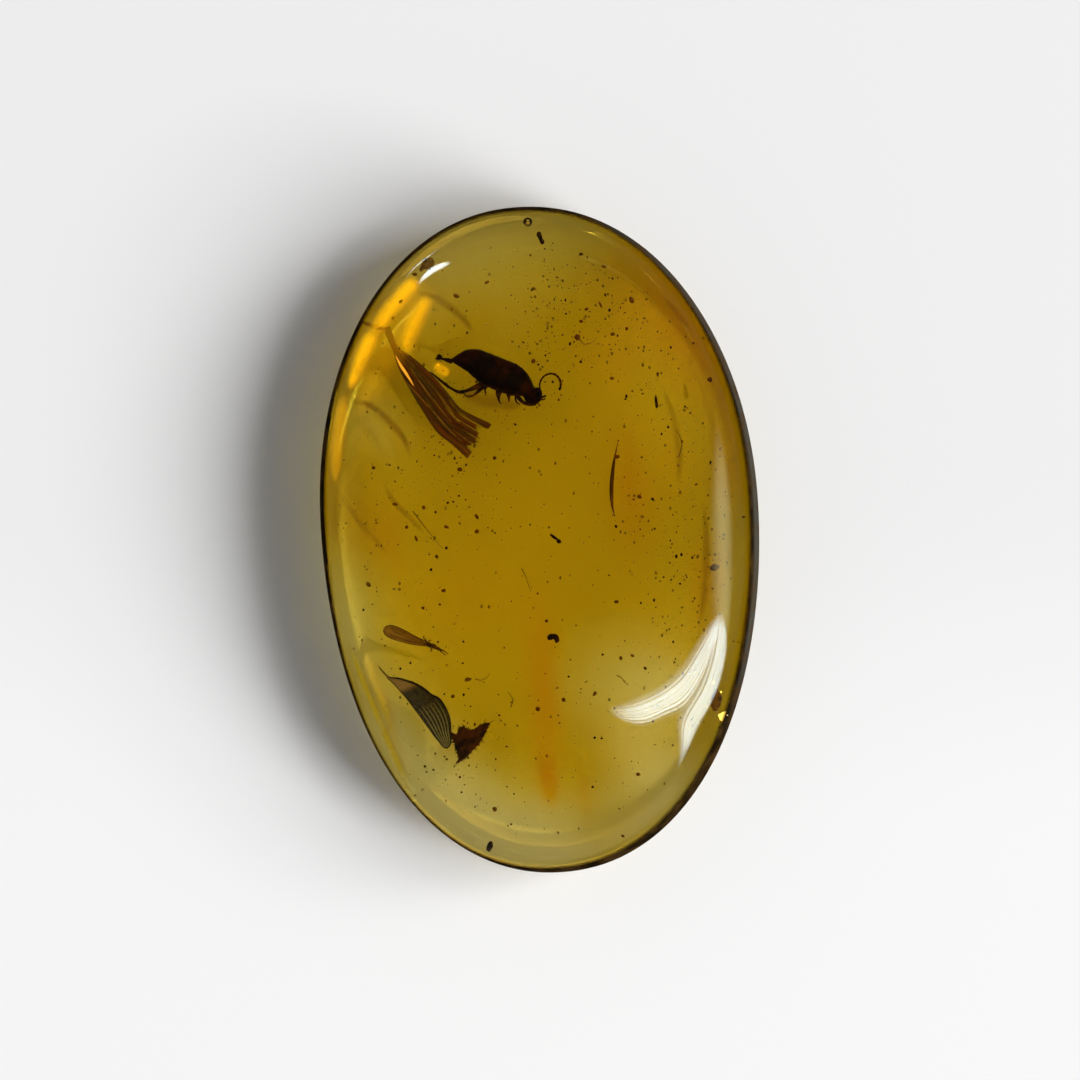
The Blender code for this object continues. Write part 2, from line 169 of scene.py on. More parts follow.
def amber_point(direction):
    """The point of the polished surface that a point of the unit sphere is moved to."""
    azimuth = math.atan2(direction.y, direction.x)
    polar = math.acos(max(-1.0, min(1.0, direction.z)))
    quarter = math.pi / 2.0
    shift = Vector((0.0, 0.0, 0.0))
    if polar < quarter:
        share = math.sin(polar) ** (2.0 / DOME_POWER)
        dome = THICKNESS - GIRDLE_HEIGHT - DOME_FALL * share ** DOME_POWER
        height = GIRDLE_HEIGHT + dome * math.sqrt(max(0.0, 1.0 - share ** RIM_POWER))
        lift = (height - GIRDLE_HEIGHT) / (THICKNESS - GIRDLE_HEIGHT)
        shift = DOME_SHIFT * (1.0 - (1.0 - lift) ** DOME_SHIFT_POWER)
    else:
        ring_step = math.pi / HEIGHT_STEPS
        fall = min(1.0, (polar - quarter) / (quarter - ring_step)) * quarter
        share = BASE_SHARE + (1.0 - BASE_SHARE) * max(0.0, math.cos(fall)) ** (2.0 / SOLE_POWER)
        height = GIRDLE_HEIGHT * (1.0 - math.sin(fall) ** (2.0 / SOLE_POWER))
    reach = outline_radius(azimuth) * share
    return Vector((reach * math.cos(azimuth), reach * math.sin(azimuth), height)) + shift


def smooth_step(share):
    """A soft ramp from 0 to 1."""
    share = min(1.0, max(0.0, share))
    return share * share * (3.0 - 2.0 * share)


def shade_band_share(direction, point):
    """How far the band of painted shade covers a point of the surface, from 0 to 1."""
    if direction.z <= 0.0:
        return smooth_step((point.z - SHADE_BAND_LOWEST + SHADE_BAND_LOW_FADE) / SHADE_BAND_LOW_FADE)
    azimuth = math.atan2(direction.y, direction.x)
    share = math.hypot(direction.x, direction.y) ** (2.0 / DOME_POWER)
    inward = outline_radius(azimuth) * (1.0 - share)
    width = SHADE_BAND_WIDTH + SHADE_BAND_UPPER_LEFT * max(0.0, math.cos(azimuth - SHADE_BAND_WIDEST_AT))
    return smooth_step((width + SHADE_BAND_FADE - inward) / SHADE_BAND_FADE)


def add_piece(name, shape, finishes, at=(0.0, 0.0, 0.0), turn=0.0):
    """An object for a bmesh in millimetres, shaded smooth, set at its place and turned about Z."""
    bmesh.ops.scale(shape, vec=(MM, MM, MM), verts=shape.verts)
    bmesh.ops.recalc_face_normals(shape, faces=shape.faces)
    mesh = bpy.data.meshes.new(name)
    shape.to_mesh(mesh)
    shape.free()
    mesh.shade_smooth()
    for finish in finishes:
        mesh.materials.append(finish)
    piece = bpy.data.objects.new(name, mesh)
    piece.location = Vector(at) * MM
    piece.rotation_euler.z = turn
    bpy.context.scene.collection.objects.link(piece)
    return piece


def new_finish(name):
    """A material with a Principled BSDF, and its nodes and links."""
    finish = bpy.data.materials.new(name)
    finish.use_nodes = True
    nodes = finish.node_tree.nodes
    return finish, nodes, finish.node_tree.links, nodes["Principled BSDF"]


def fill(links, socket, value):
    """Set a socket to a plain value, or link another node's output to it."""
    if isinstance(value, bpy.types.NodeSocket):
        links.new(value, socket)
    elif isinstance(value, tuple) and len(value) == 3 and socket.type == "RGBA":
        socket.default_value = (*value, 1.0)
    else:
        socket.default_value = value


def mixed(nodes, links, mask, first, second):
    """A colour between two colours, by a mask."""
    mix = nodes.new("ShaderNodeMix")
    mix.data_type = "RGBA"
    for place, value in zip(("Factor_Float", "A_Color", "B_Color"), (mask, first, second)):
        socket = next(entry for entry in mix.inputs if entry.identifier == place)
        fill(links, socket, value)
    return next(entry for entry in mix.outputs if entry.identifier == "Result_Color")


def sum_of(nodes, links, operation, first, second, clamp=True):
    """One sum on two values, clamped to 0 and 1 unless told otherwise."""
    step = nodes.new("ShaderNodeMath")
    step.operation = operation
    step.use_clamp = clamp
    fill(links, step.inputs[0], first)
    fill(links, step.inputs[1], second)
    return step.outputs[0]


def vector_sum(nodes, links, operation, *values):
    """One sum on two or three vectors."""
    step = nodes.new("ShaderNodeVectorMath")
    step.operation = operation
    for socket, value in zip(step.inputs, values):
        fill(links, socket, value)
    return step.outputs[0]


def ranged(nodes, links, value, given, wanted=(0.0, 1.0), kind="LINEAR"):
    """A value moved from one range to another, and held inside it."""
    ramp = nodes.new("ShaderNodeMapRange")
    ramp.interpolation_type = kind
    for label, limit in zip(("From Min", "From Max", "To Min", "To Max"), (*given, *wanted)):
        fill(links, ramp.inputs[label], limit)
    links.new(value, ramp.inputs["Value"])
    return ramp.outputs["Result"]


def noise_over(nodes, links, place, scale, detail, roughness=0.5, output="Fac"):
    """Cloudy noise over a place."""
    noise = nodes.new("ShaderNodeTexNoise")
    fill(links, noise.inputs["Scale"], scale)
    noise.inputs["Detail"].default_value = detail
    noise.inputs["Roughness"].default_value = roughness
    links.new(place, noise.inputs["Vector"])
    return noise.outputs[output]


def own_place(nodes):
    """Where a point of the surface lies on its own piece."""
    return nodes.new("ShaderNodeTexCoord").outputs["Object"]


def carried(nodes, name):
    """A value that the mesh carries from point to point."""
    reader = nodes.new("ShaderNodeAttribute")
    reader.attribute_name = name
    return reader.outputs["Fac"]


def add_relief(nodes, links, shader, height, strength, depth):
    """Raise and lower the surface by a height that changes over it."""
    relief = nodes.new("ShaderNodeBump")
    relief.inputs["Strength"].default_value = strength
    relief.inputs["Distance"].default_value = depth * MM
    links.new(height, relief.inputs["Height"])
    links.new(relief.outputs["Normal"], shader.inputs["Normal"])


def set_gloss(shader, roughness, shine):
    """How rough a dull surface is, and how much it mirrors."""
    shader.inputs["Roughness"].default_value = roughness
    shader.inputs["Specular IOR Level"].default_value = shine


def set_glass(shader, refraction):
    """Make a shader clear glass."""
    shader.inputs["Roughness"].default_value = 0.0
    shader.inputs["IOR"].default_value = refraction
    shader.inputs["Transmission Weight"].default_value = 1.0


def clouds_mask(nodes, links, place, clouds):
    """A mask that is highest in the middle of each cloud of resin and fades to its edge."""
    total = 0.0
    for (x, y), (half_x, half_y), turn, strength in clouds:
        frame_of = nodes.new("ShaderNodeMapping")
        frame_of.vector_type = "TEXTURE"
        frame_of.inputs["Location"].default_value = (x * MM, y * MM, 0.0)
        frame_of.inputs["Rotation"].default_value = (0.0, 0.0, math.radians(turn))
        frame_of.inputs["Scale"].default_value = (half_x * MM, half_y * MM, 1.0)
        ball = nodes.new("ShaderNodeTexGradient")
        ball.gradient_type = "SPHERICAL"
        links.new(place, frame_of.inputs["Vector"])
        links.new(frame_of.outputs["Vector"], ball.inputs["Vector"])
        cloud = ranged(nodes, links, ball.outputs["Fac"], (0.0, 1.0), (0.0, strength), "SMOOTHSTEP")
        total = sum_of(nodes, links, "ADD", total, cloud)
    return total


def amber_finish():
    """Clear resin: plain glass values and absorption, with layers in its tint, painted light that makes
    it paler towards the rim, and painted shade that darkens it into the band round the girdle.
    """
    finish, nodes, links, shader = new_finish("polished_amber")
    set_glass(shader, AMBER_IOR)
    resin = nodes.new("ShaderNodeVolumeAbsorption")
    resin.inputs["Color"].default_value = RESIN_COLOUR
    resin.inputs["Density"].default_value = RESIN_DENSITY
    links.new(resin.outputs["Volume"], nodes["Material Output"].inputs["Volume"])

    place = own_place(nodes)
    warp = noise_over(nodes, links, place, CLOUD_WARP_SCALE, CLOUD_WARP_DETAIL, output="Color")
    least = (-CLOUD_WARP * MM,) * 3
    reach = (2.0 * CLOUD_WARP * MM,) * 3
    bend = vector_sum(nodes, links, "MULTIPLY_ADD", warp, reach, least)
    place = vector_sum(nodes, links, "ADD", place, bend)
    stretched = vector_sum(nodes, links, "MULTIPLY", place, STREAK_SCALE)
    streaks = noise_over(nodes, links, stretched, 1.0, STREAK_DETAIL)
    streak_depth = ranged(nodes, links, streaks, STREAK_RANGE, STREAK_DEPTH)

    pale = clouds_mask(nodes, links, place, PALE_CLOUDS)
    brown = clouds_mask(nodes, links, place, BROWN_CLOUDS)
    brown = sum_of(nodes, links, "MULTIPLY", brown, streak_depth)
    ruddy = clouds_mask(nodes, links, place, RUDDY_CLOUDS)
    colour = mixed(nodes, links, pale, DEEP_RESIN, PALE_RESIN)
    colour = mixed(nodes, links, brown, colour, BROWN_RESIN)
    colour = mixed(nodes, links, ruddy, colour, RUDDY_RESIN)
    paler = nodes.new("ShaderNodeGamma")
    paler.inputs["Gamma"].default_value = EDGE_LIGHT_GAMMA
    links.new(colour, paler.inputs["Color"])
    # Painted light: the tint is paler towards most of the rim.
    colour = mixed(nodes, links, carried(nodes, "edge"), colour, paler.outputs[0])
    # Painted shade: the tint darkens into the band round the girdle.
    colour = mixed(nodes, links, carried(nodes, "skin"), colour, SHADE_BAND_TINT)
    links.new(colour, shader.inputs["Base Color"])
    return finish


def shade_band_finish():
    """Painted shade: the opaque dark band round the girdle, mottled brown and bumpy, and grey near its
    top edge on its right side as a painted reflection.
    """
    finish, nodes, links, shader = new_finish("painted_shade_band")
    band_noise = noise_over(nodes, links, own_place(nodes), SHADE_BAND_GRAIN, 5.0)
    band_brown = ranged(nodes, links, band_noise, SHADE_BAND_BROWN_RANGE)
    # Painted reflection: the band is grey on its right side.
    band_tone = mixed(nodes, links, carried(nodes, "painted_reflection"), SHADE_BAND_DARK, REFLECTION_BAND_GREY)
    links.new(mixed(nodes, links, band_brown, band_tone, SHADE_BAND_BROWN), shader.inputs["Base Color"])
    add_relief(nodes, links, shader, band_noise, SHADE_BAND_RELIEF_STRENGTH, SHADE_BAND_RELIEF)
    set_gloss(shader, 0.6, 0.0)
    return finish


shape = bmesh.new()
shade_band_layer = shape.verts.layers.float.new("skin")
edge_light_layer = shape.verts.layers.float.new("edge")
reflection_band_layer = shape.verts.layers.float.new("painted_reflection")
bmesh.ops.create_uvsphere(shape, u_segments=OUTLINE_STEPS, v_segments=HEIGHT_STEPS, radius=1.0)
for vert in shape.verts:
    direction = vert.co.copy()
    vert.co = amber_point(direction)
    vert[shade_band_layer] = shade_band_share(direction, vert.co)
    azimuth = math.atan2(vert.co.y, vert.co.x)
    reach = outline_radius(azimuth)
    outward = math.hypot(vert.co.x, vert.co.y)
    # Painted light: how much a point of the dome's rim gets the paler tint.
    away = smooth_step((abs(azimuth - UNLIT_EDGE_TOWARDS) - UNLIT_EDGE_SPREAD) / UNLIT_EDGE_FADE)
    rim = smooth_step((outward / reach - EDGE_LIGHT_START) / EDGE_LIGHT_FADE)
    vert[edge_light_layer] = away * rim if direction.z > 0.0 else 0.0
    # Painted reflection: how grey the band is, near its top edge on its right side.
    reflection_side = smooth_step((math.cos(azimuth - REFLECTION_BAND_TOWARDS) - REFLECTION_SIDE_START) / REFLECTION_SIDE_FADE)
    reflection_rim = smooth_step((REFLECTION_BAND_WIDTH + REFLECTION_BAND_FADE - reach + outward) / REFLECTION_BAND_FADE)
    vert[reflection_band_layer] = reflection_side * reflection_rim
# Faces wholly inside the band of painted shade are opaque.
for face in shape.faces:
    face.material_index = int(min(vert[shade_band_layer] for vert in face.verts) > OPAQUE_SHADE_BAND)
xs = [vert.co.x for vert in shape.verts]
ys = [vert.co.y for vert in shape.verts]
middle = Vector(((min(xs) + max(xs)) / 2.0, (min(ys) + max(ys)) / 2.0, 0.0))
bmesh.ops.translate(shape, verts=shape.verts, vec=-middle)
amber = add_piece("amber", shape, [amber_finish(), shade_band_finish()])
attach(amber, "root")
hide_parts("amber_lower", "amber_upper")

# --- The beetle ----------------------------------------------------------------------------------
# A small humped beetle, dead in the resin on its side: hard wing cases over the hind body, a
# collar, a bent-down head, six jointed legs, a spiked tail and one feeler. X runs to its head, Y
# to its back and Z across it.

BEETLE_AT = (-1.96, 7.09, 4.3)
BEETLE_TURN = math.radians(-25.5)
BEETLE_HALF_WIDTH = 0.62
BACK_LINE = (
    (-2.04, -0.12), (-1.79, 0.29), (-1.57, 0.58), (-1.13, 0.79), (-0.66, 0.83),
    (0.00, 0.86), (0.52, 0.89), (0.98, 0.81), (1.37, 0.63), (1.66, 0.40),
)
BELLY_LINE = (
    (-2.04, -0.16), (-1.70, -0.18), (-1.43, -0.22), (-1.11, -0.27), (-0.77, -0.38),
    (-0.33, -0.50), (0.43, -0.47), (0.97, -0.42), (1.25, -0.30), (1.66, -0.14),
)
WING_CASE_START = -1.97
WING_CASE_END = 0.62
WING_CASE_LOWEST = math.radians(-24.0)
COLLAR_START = 0.54
COLLAR_END = 1.60
BODY_RINGS = 64
BODY_SIDES = 40
BODY_LEAST = 0.02
BODY_START = 0.03
BODY_REACH = 0.86
BODY_BLUNTNESS = 0.55
GROOVE_SPACING = 0.36
GROOVE_DEPTH = 0.035
GROOVE_POWER = 6
PLATE_THICKNESS = 0.04
SEAM_HALF_WIDTH = 0.02
COLLAR_LOWEST = -0.7

# The lumps of the head: centre, half sizes, and turn in degrees.
HEAD_LUMPS = (
    ((1.93, 0.03, 0.0), (0.28, 0.39, 0.36), 8.0),
    ((1.66, 0.02, 0.0), (0.34, 0.30, 0.30), 20.0),
    ((1.74, -0.20, 0.0), (0.26, 0.20, 0.24), -20.0),
)
EYE_AT = (1.99, 0.14, 0.27)
EYE_HALF_SIZES = (0.14, 0.18, 0.11)
LIMB_STEPS = 5
SHELL, LIMB, EYE = range(3)

# Limbs: route in the beetle's own X, Y, Z, and the radius at its start and end.
LIMBS = (
    # The near hind thigh, shin and foot.
    (((-0.33, -0.42, 0.3), (-0.58, -0.76, 0.36), (-0.89, -1.08, 0.38)), 0.15, 0.08),
    (((-0.89, -1.08, 0.38), (-1.12, -1.21, 0.36), (-1.56, -1.19, 0.3)), 0.085, 0.065),
    (((-1.56, -1.19, 0.3), (-1.98, -1.08, 0.24), (-2.39, -0.97, 0.2), (-2.56, -0.93, 0.2)),
     0.065, 0.035),
    # The far hind thigh and shin.
    (((-0.20, -0.46, -0.2), (-0.34, -0.84, -0.2), (-0.46, -1.10, -0.2)), 0.10, 0.06),
    (((-0.46, -1.10, -0.2), (-0.68, -1.23, -0.16), (-0.92, -1.14, -0.1)), 0.05, 0.03),
    # The near middle thigh and foot, the far middle thigh, and the other middle foot.
    (((0.42, -0.36, 0.3), (0.46, -0.58, 0.36), (0.58, -0.78, 0.36)), 0.17, 0.06),
    (((0.56, -0.76, 0.36), (0.66, -0.86, 0.34), (0.76, -0.90, 0.3)), 0.045, 0.02),
    (((-0.10, -0.40, -0.1), (-0.13, -0.62, -0.1), (0.02, -0.86, -0.1)), 0.075, 0.025),
    (((0.86, -0.40, 0.1), (0.92, -0.52, 0.1), (1.02, -0.68, 0.1)), 0.10, 0.03),
    # The near and the far front leg.
    (((1.12, -0.24, 0.2), (1.36, -0.37, 0.26), (1.58, -0.44, 0.26), (1.85, -0.42, 0.2),
      (2.10, -0.28, 0.1)), 0.10, 0.065),
    (((1.10, -0.20, -0.2), (1.26, -0.52, -0.2), (1.50, -0.60, -0.2)), 0.05, 0.03),
    # The near and the far palp.
    (((2.05, -0.05, 0.1), (2.20, 0.10, 0.12), (2.33, 0.24, 0.12)), 0.035, 0.055),
    (((2.08, -0.10, -0.1), (2.24, 0.00, -0.1), (2.36, 0.10, -0.1)), 0.03, 0.05),
    # The tail spike.
    (((-1.90, -0.13, 0.0), (-2.08, -0.15, 0.0), (-2.24, -0.18, 0.0), (-2.42, -0.20, 0.0)),
     0.12, 0.05),
)
FEELER_ROUTE = (
    (1.99, 0.33, 0.12), (1.87, 0.56, 0.14), (1.84, 0.79, 0.14), (1.91, 1.01, 0.12), (2.08, 1.18, 0.1),
    (2.30, 1.22, 0.08), (2.53, 1.12, 0.06), (2.68, 0.92, 0.04), (2.73, 0.69, 0.02),
)
FEELER_SEGMENTS = 11
FEELER_START_RADIUS = 0.036
FEELER_END_RADIUS = 0.060
FEELER_WAIST = 0.62
TAIL_TUFT_AT = Vector((-2.46, -0.20, 0.0))
TAIL_TUFT_REACH = 0.20
TAIL_BRISTLES = 110
TAIL_BRISTLE_RADIUS = 0.013
BODY_BRISTLES = 120
BODY_BRISTLE_RADIUS = 0.008
CHITIN_DARK = (0.006, 0.002, 0.001)
CHITIN_RED = (0.030, 0.006, 0.003)
LEG_DARK = (0.016, 0.005, 0.002)
LEG_BROWN = (0.13, 0.040, 0.010)
EYE_DARK = (0.003, 0.002, 0.001)
EYE_BROWN = (0.008, 0.003, 0.002)
PATCH_DETAIL = 5.0
PATCH_ROUGHNESS = 0.62
PATCH_THRESHOLD = 0.75
PATCH_SOFTNESS = 0.28
GRAIN_FINENESS = 5.0
GRAIN_DETAIL = 2.0
GRAIN_DEPTH = 0.05


def curve_through(points, steps):
    """Points along a smooth curve through the given ones, which may be flat."""
    points = [Vector(point).to_3d() for point in points]
    ends = [points[0] * 2.0 - points[1], *points, points[-1] * 2.0 - points[-2]]
    smooth = []
    for before, start, end, after in zip(ends, ends[1:], ends[2:], ends[3:]):
        for step in range(steps):
            t = step / steps
            bend = (end - before) * t + (before * 2.0 - start * 5.0 + end * 4.0 - after) * t ** 2
            bend += (start * 3.0 - before - end * 3.0 + after) * t ** 3
            smooth.append(start + bend * 0.5)
    return [*smooth, points[-1]]


def add_rings(shape, rings, finish=0):
    """Join a row of closed rings of points into one closed skin."""
    rows = [[shape.verts.new(point) for point in ring] for ring in rings]
    sides = len(rows[0])
    faces = [shape.faces.new(rows[0]), shape.faces.new(rows[-1])]
    for low, high in zip(rows, rows[1:]):
        for side in range(sides):
            beside = (side + 1) % sides
            faces.append(shape.faces.new((low[side], low[beside], high[beside], high[side])))
    for face in faces:
        face.material_index = finish
    return [vert for row in rows for vert in row]


def add_tube(shape, route, radius_at, sides=10, finish=0):
    """A round limb along a route, whose radius is a function of the share of its length."""
    rings = []
    last = len(route) - 1
    for place, point in enumerate(route):
        ahead = (route[min(place + 1, last)] - route[max(place - 1, 0)]).normalized()
        side = ahead.cross(Vector((0.0, 0.0, 1.0))).normalized()
        up = side.cross(ahead)
        turns = [2.0 * math.pi * step / sides for step in range(sides)]
        radius = radius_at(place / last)
        rings.append([point + (side * math.cos(a) + up * math.sin(a)) * radius for a in turns])
    return add_rings(shape, rings, finish)


def add_ball(shape, centre, half_sizes, turn=0.0, finish=0, detail=3):
    """An egg-shaped lump, turned about Z."""
    turned = Matrix.Translation(centre) @ Matrix.Rotation(turn, 4, "Z")
    matrix = turned @ Matrix.Diagonal((*half_sizes, 1.0))
    made = bmesh.ops.create_icosphere(shape, subdivisions=detail, radius=1.0, matrix=matrix)
    for face in {face for vert in made["verts"] for face in vert.link_faces}:
        face.material_index = finish
    return made["verts"]


def height_on(line, along):
    """The height of a side line of the body at one place along it."""
    for low, high in zip(line, line[1:]):
        if along <= high.x:
            share = max(0.0, (along - low.x) / max(1e-6, high.x - low.x))
            return low.y + (high.y - low.y) * share
    return line[-1].y


back_line = curve_through(BACK_LINE, 6)
belly_line = curve_through(BELLY_LINE, 6)


def body_point(along, turn, spread):
    """A point of the body's skin at one place along it, turned round from the near side."""
    high = height_on(back_line, along)
    low = height_on(belly_line, along)
    share = (along - back_line[0].x) / (back_line[-1].x - back_line[0].x)
    swell = max(BODY_LEAST, math.sin(math.pi * (BODY_START + BODY_REACH * share)))
    half_width = BEETLE_HALF_WIDTH * swell ** BODY_BLUNTNESS
    rise = (high - low) / 2.0 * math.sin(turn) * spread
    return Vector((along, (high + low) / 2.0 + rise, half_width * math.cos(turn) * spread))


def add_body_shell(shape, start, end, turns, spread_at, finish=0):
    """A hard plate over part of the body: an arc outside, and the same arc a little further in."""
    rings = []
    for step in range(BODY_RINGS + 1):
        share = step / BODY_RINGS
        along = start + (end - start) * share
        spread = spread_at(share)
        outside = [body_point(along, turn, spread) for turn in turns]
        inside = [body_point(along, turn, spread - PLATE_THICKNESS) for turn in reversed(turns)]
        rings.append(outside + inside)
    return add_rings(shape, rings, finish)


def arc(start, end, steps):
    """Evenly spaced turns from one to another."""
    return [start + (end - start) * step / steps for step in range(steps + 1)]


def mottle_group():
    """Patches of two colours, and a height for their grain. It is placed in many finishes."""
    group = bpy.data.node_groups.new("mottle", "ShaderNodeTree")
    for label, kind, value in (
        ("Dark", "NodeSocketColor", (0.0, 0.0, 0.0, 1.0)),
        ("Light", "NodeSocketColor", (1.0, 1.0, 1.0, 1.0)),
        ("Place", "NodeSocketVector", (0.0, 0.0, 0.0)),
        ("Stretch", "NodeSocketVector", (1.0, 1.0, 1.0)),
        ("Scale", "NodeSocketFloat", 1000.0),
        ("Amount", "NodeSocketFloat", 0.5),
    ):
        socket = group.interface.new_socket(label, in_out="INPUT", socket_type=kind)
        socket.default_value = value
    for label, kind in (("Colour", "Color"), ("Mask", "Float"), ("Grain", "Float")):
        group.interface.new_socket(label, in_out="OUTPUT", socket_type="NodeSocket" + kind)
    nodes, links = group.nodes, group.links
    given = nodes.new("NodeGroupInput").outputs
    result = nodes.new("NodeGroupOutput").inputs
    place = vector_sum(nodes, links, "MULTIPLY", given["Place"], given["Stretch"])
    patches = noise_over(nodes, links, place, given["Scale"], PATCH_DETAIL, PATCH_ROUGHNESS)
    low = sum_of(nodes, links, "SUBTRACT", PATCH_THRESHOLD, given["Amount"], clamp=False)
    high = sum_of(nodes, links, "ADD", low, PATCH_SOFTNESS, clamp=False)
    mask = ranged(nodes, links, patches, (low, high), kind="SMOOTHSTEP")
    fine_scale = sum_of(nodes, links, "MULTIPLY", given["Scale"], GRAIN_FINENESS, clamp=False)
    grain = noise_over(nodes, links, place, fine_scale, GRAIN_DETAIL)
    links.new(mixed(nodes, links, mask, given["Dark"], given["Light"]), result["Colour"])
    links.new(mask, result["Mask"])
    links.new(grain, result["Grain"])
    return group


mottle = mottle_group()


def add_mottle(nodes, links, place, scale, amount, stretch=(1.0, 1.0, 1.0),
               dark=(0.0, 0.0, 0.0), light=(1.0, 1.0, 1.0)):
    """Put the mottle group into a finish with its own values."""
    patches = nodes.new("ShaderNodeGroup")
    patches.node_tree = mottle
    for label, value in (
        ("Place", place), ("Scale", scale), ("Amount", amount),
        ("Stretch", stretch), ("Dark", dark), ("Light", light),
    ):
        fill(links, patches.inputs[label], value)
    return patches.outputs


def mottled_finish(name, dark, light, scale, amount, roughness, grain,
                   stretch=(1.0, 1.0, 1.0), shine=0.1):
    """A sealed scrap's finish: two colours in patches, with its own grain."""
    finish, nodes, links, shader = new_finish(name)
    patches = add_mottle(nodes, links, own_place(nodes), scale, amount, stretch, dark, light)
    links.new(patches["Colour"], shader.inputs["Base Color"])
    add_relief(nodes, links, shader, patches["Grain"], grain, GRAIN_DEPTH)
    set_gloss(shader, roughness, shine)
    return finish


def add_limb(shape, route, start_radius, end_radius, finish):
    """A jointed limb: thickest a little past its start, and thinning to its end."""
    def radius_at(share):
        swell = 0.8 + 0.2 * math.sin(math.pi * min(1.0, 0.2 + share))
        return (start_radius + (end_radius - start_radius) * share) * swell

    add_tube(shape, curve_through(route, LIMB_STEPS), radius_at, finish=finish)


def add_bristle(shape, root, tip, radius, bluntness, finish=0, bend=0.5):
    """A short straight bristle that thins to its tip."""
    route = [root, root.lerp(tip, bend), tip]
    add_tube(shape, route, lambda share: radius * (bluntness - share), 4, finish)


def wing_case_spread(share):
    """How far the wing cases stand off the body, a little less at both of their ends."""
    return 1.06 - 0.03 * (2.0 * share - 1.0) ** 8


def collar_spread(share):
    """How far the collar stands off the body, less towards the head."""
    return 1.10 - 0.07 * share ** 0.5


def feeler_radius(share):
    """A string of beads that thickens to its end."""
    radius = FEELER_START_RADIUS + (FEELER_END_RADIUS - FEELER_START_RADIUS) * share
    bead = abs(math.sin(math.pi * FEELER_SEGMENTS * share)) ** 0.6
    return radius * (FEELER_WAIST + (1.0 - FEELER_WAIST) * bead)


rng = random.Random(5)
shape = bmesh.new()
body_start, body_end = BACK_LINE[0][0], BACK_LINE[-1][0]
body_turns = arc(0.0, 2.0 * math.pi, BODY_SIDES)[:-1]
skin_rings = []
for step in range(BODY_RINGS + 1):
    along = body_start + (body_end - body_start) * step / BODY_RINGS
    notch = max(0.0, math.cos(2.0 * math.pi * along / GROOVE_SPACING)) ** GROOVE_POWER
    groove = 1.0 - GROOVE_DEPTH * notch
    skin_rings.append([body_point(along, turn, groove) for turn in body_turns])
add_rings(shape, skin_rings, SHELL)
ridge = math.pi / 2.0
for first, last in (
    (WING_CASE_LOWEST, ridge - SEAM_HALF_WIDTH),
    (ridge + SEAM_HALF_WIDTH, math.pi - WING_CASE_LOWEST),
):
    add_body_shell(shape, WING_CASE_START, WING_CASE_END, arc(first, last, 22), wing_case_spread)
collar_turns = arc(COLLAR_LOWEST, math.pi - COLLAR_LOWEST, 44)
add_body_shell(shape, COLLAR_START, COLLAR_END, collar_turns, collar_spread)
for centre, half_sizes, turn in HEAD_LUMPS:
    add_ball(shape, centre, half_sizes, math.radians(turn))
for side in (1.0, -1.0):
    add_ball(shape, (*EYE_AT[:2], EYE_AT[2] * side), EYE_HALF_SIZES, finish=EYE)
for route, start_radius, end_radius in LIMBS:
    add_limb(shape, route, start_radius, end_radius, LIMB)
add_tube(shape, curve_through(FEELER_ROUTE, 11), feeler_radius, 8, LIMB)
for _ in range(TAIL_BRISTLES):
    lean = Vector((rng.gauss(-0.25, 1.0), rng.gauss(0.1, 0.8), rng.gauss(0.0, 0.8))).normalized()
    reach = TAIL_TUFT_REACH * rng.uniform(0.5, 1.0)
    root = TAIL_TUFT_AT + lean * 0.03
    add_bristle(shape, root, root + lean * reach, TAIL_BRISTLE_RADIUS, 1.2, LIMB)
for _ in range(BODY_BRISTLES):
    along = rng.uniform(-1.9, 1.5)
    turn = rng.uniform(-0.4, math.pi)
    root = body_point(along, turn, 1.03)
    tip = body_point(along - 0.10, turn, 1.12)
    add_bristle(shape, root, tip, BODY_BRISTLE_RADIUS, 1.1, LIMB)
chitin = mottled_finish("beetle_chitin", CHITIN_DARK, CHITIN_RED, 1300.0, 0.34, 0.45, 0.5, shine=0.03)
leg_chitin = mottled_finish("leg_chitin", LEG_DARK, LEG_BROWN, 2500.0, 0.28, 0.5, 0.4, shine=0.04)
eye_finish = mottled_finish("beetle_eye", EYE_DARK, EYE_BROWN, 9000.0, 0.4, 0.3, 0.8, shine=0.02)
beetle = add_piece("beetle_sealed", shape, [chitin, leg_chitin, eye_finish], BEETLE_AT, BEETLE_TURN)
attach(beetle, "root")
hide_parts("beetle")

# --- The plant fan -------------------------------------------------------------------------------
# A torn scrap of a leaf or a flower, of six fibre strips that spread from a narrow bent neck. The
# strips are red-brown, folded lengthwise, with tan ribs between them and frayed ends. One pale
# orange rib near the neck is a painted highlight that glows with its own light. X runs from the
# neck to the ends.

FAN_AT = (-6.55, 9.30, 3.75)
FAN_TURN = math.radians(-50.0)
FAN_LEFT = (
    (-0.10, -0.02), (0.22, -0.20), (0.99, -0.40), (1.83, -0.70), (2.88, -0.92), (3.88, -1.10),
    (4.95, -1.24), (5.73, -1.12), (6.62, -1.02),
)
FAN_RIGHT = (
    (-0.02, 0.20), (0.35, 0.08), (1.08, -0.10), (1.71, 0.06), (2.81, 0.20), (3.82, 0.20),
    (4.60, 0.16), (5.08, 0.26), (6.15, 0.72),
)
STRIP_ENDS = (1.00, 0.965, 0.985, 0.972, 0.945, 0.99)
STRIP_EDGES = (0.0, 0.19, 0.36, 0.52, 0.68, 0.83, 1.0)
STRIP_SPLITS = (0.90, 0.80, 0.86, 0.62, 0.74)
FAN_STEPS = 70
STRIP_STEPS = 8
FAN_FOLD = 0.11
FAN_SHEET = 0.035
FAN_SAG = 0.25
FAN_CROWN = 0.25
SPLIT_GAP = 0.10
SPLIT_FADE = 0.2
RAGGED_END = 0.012
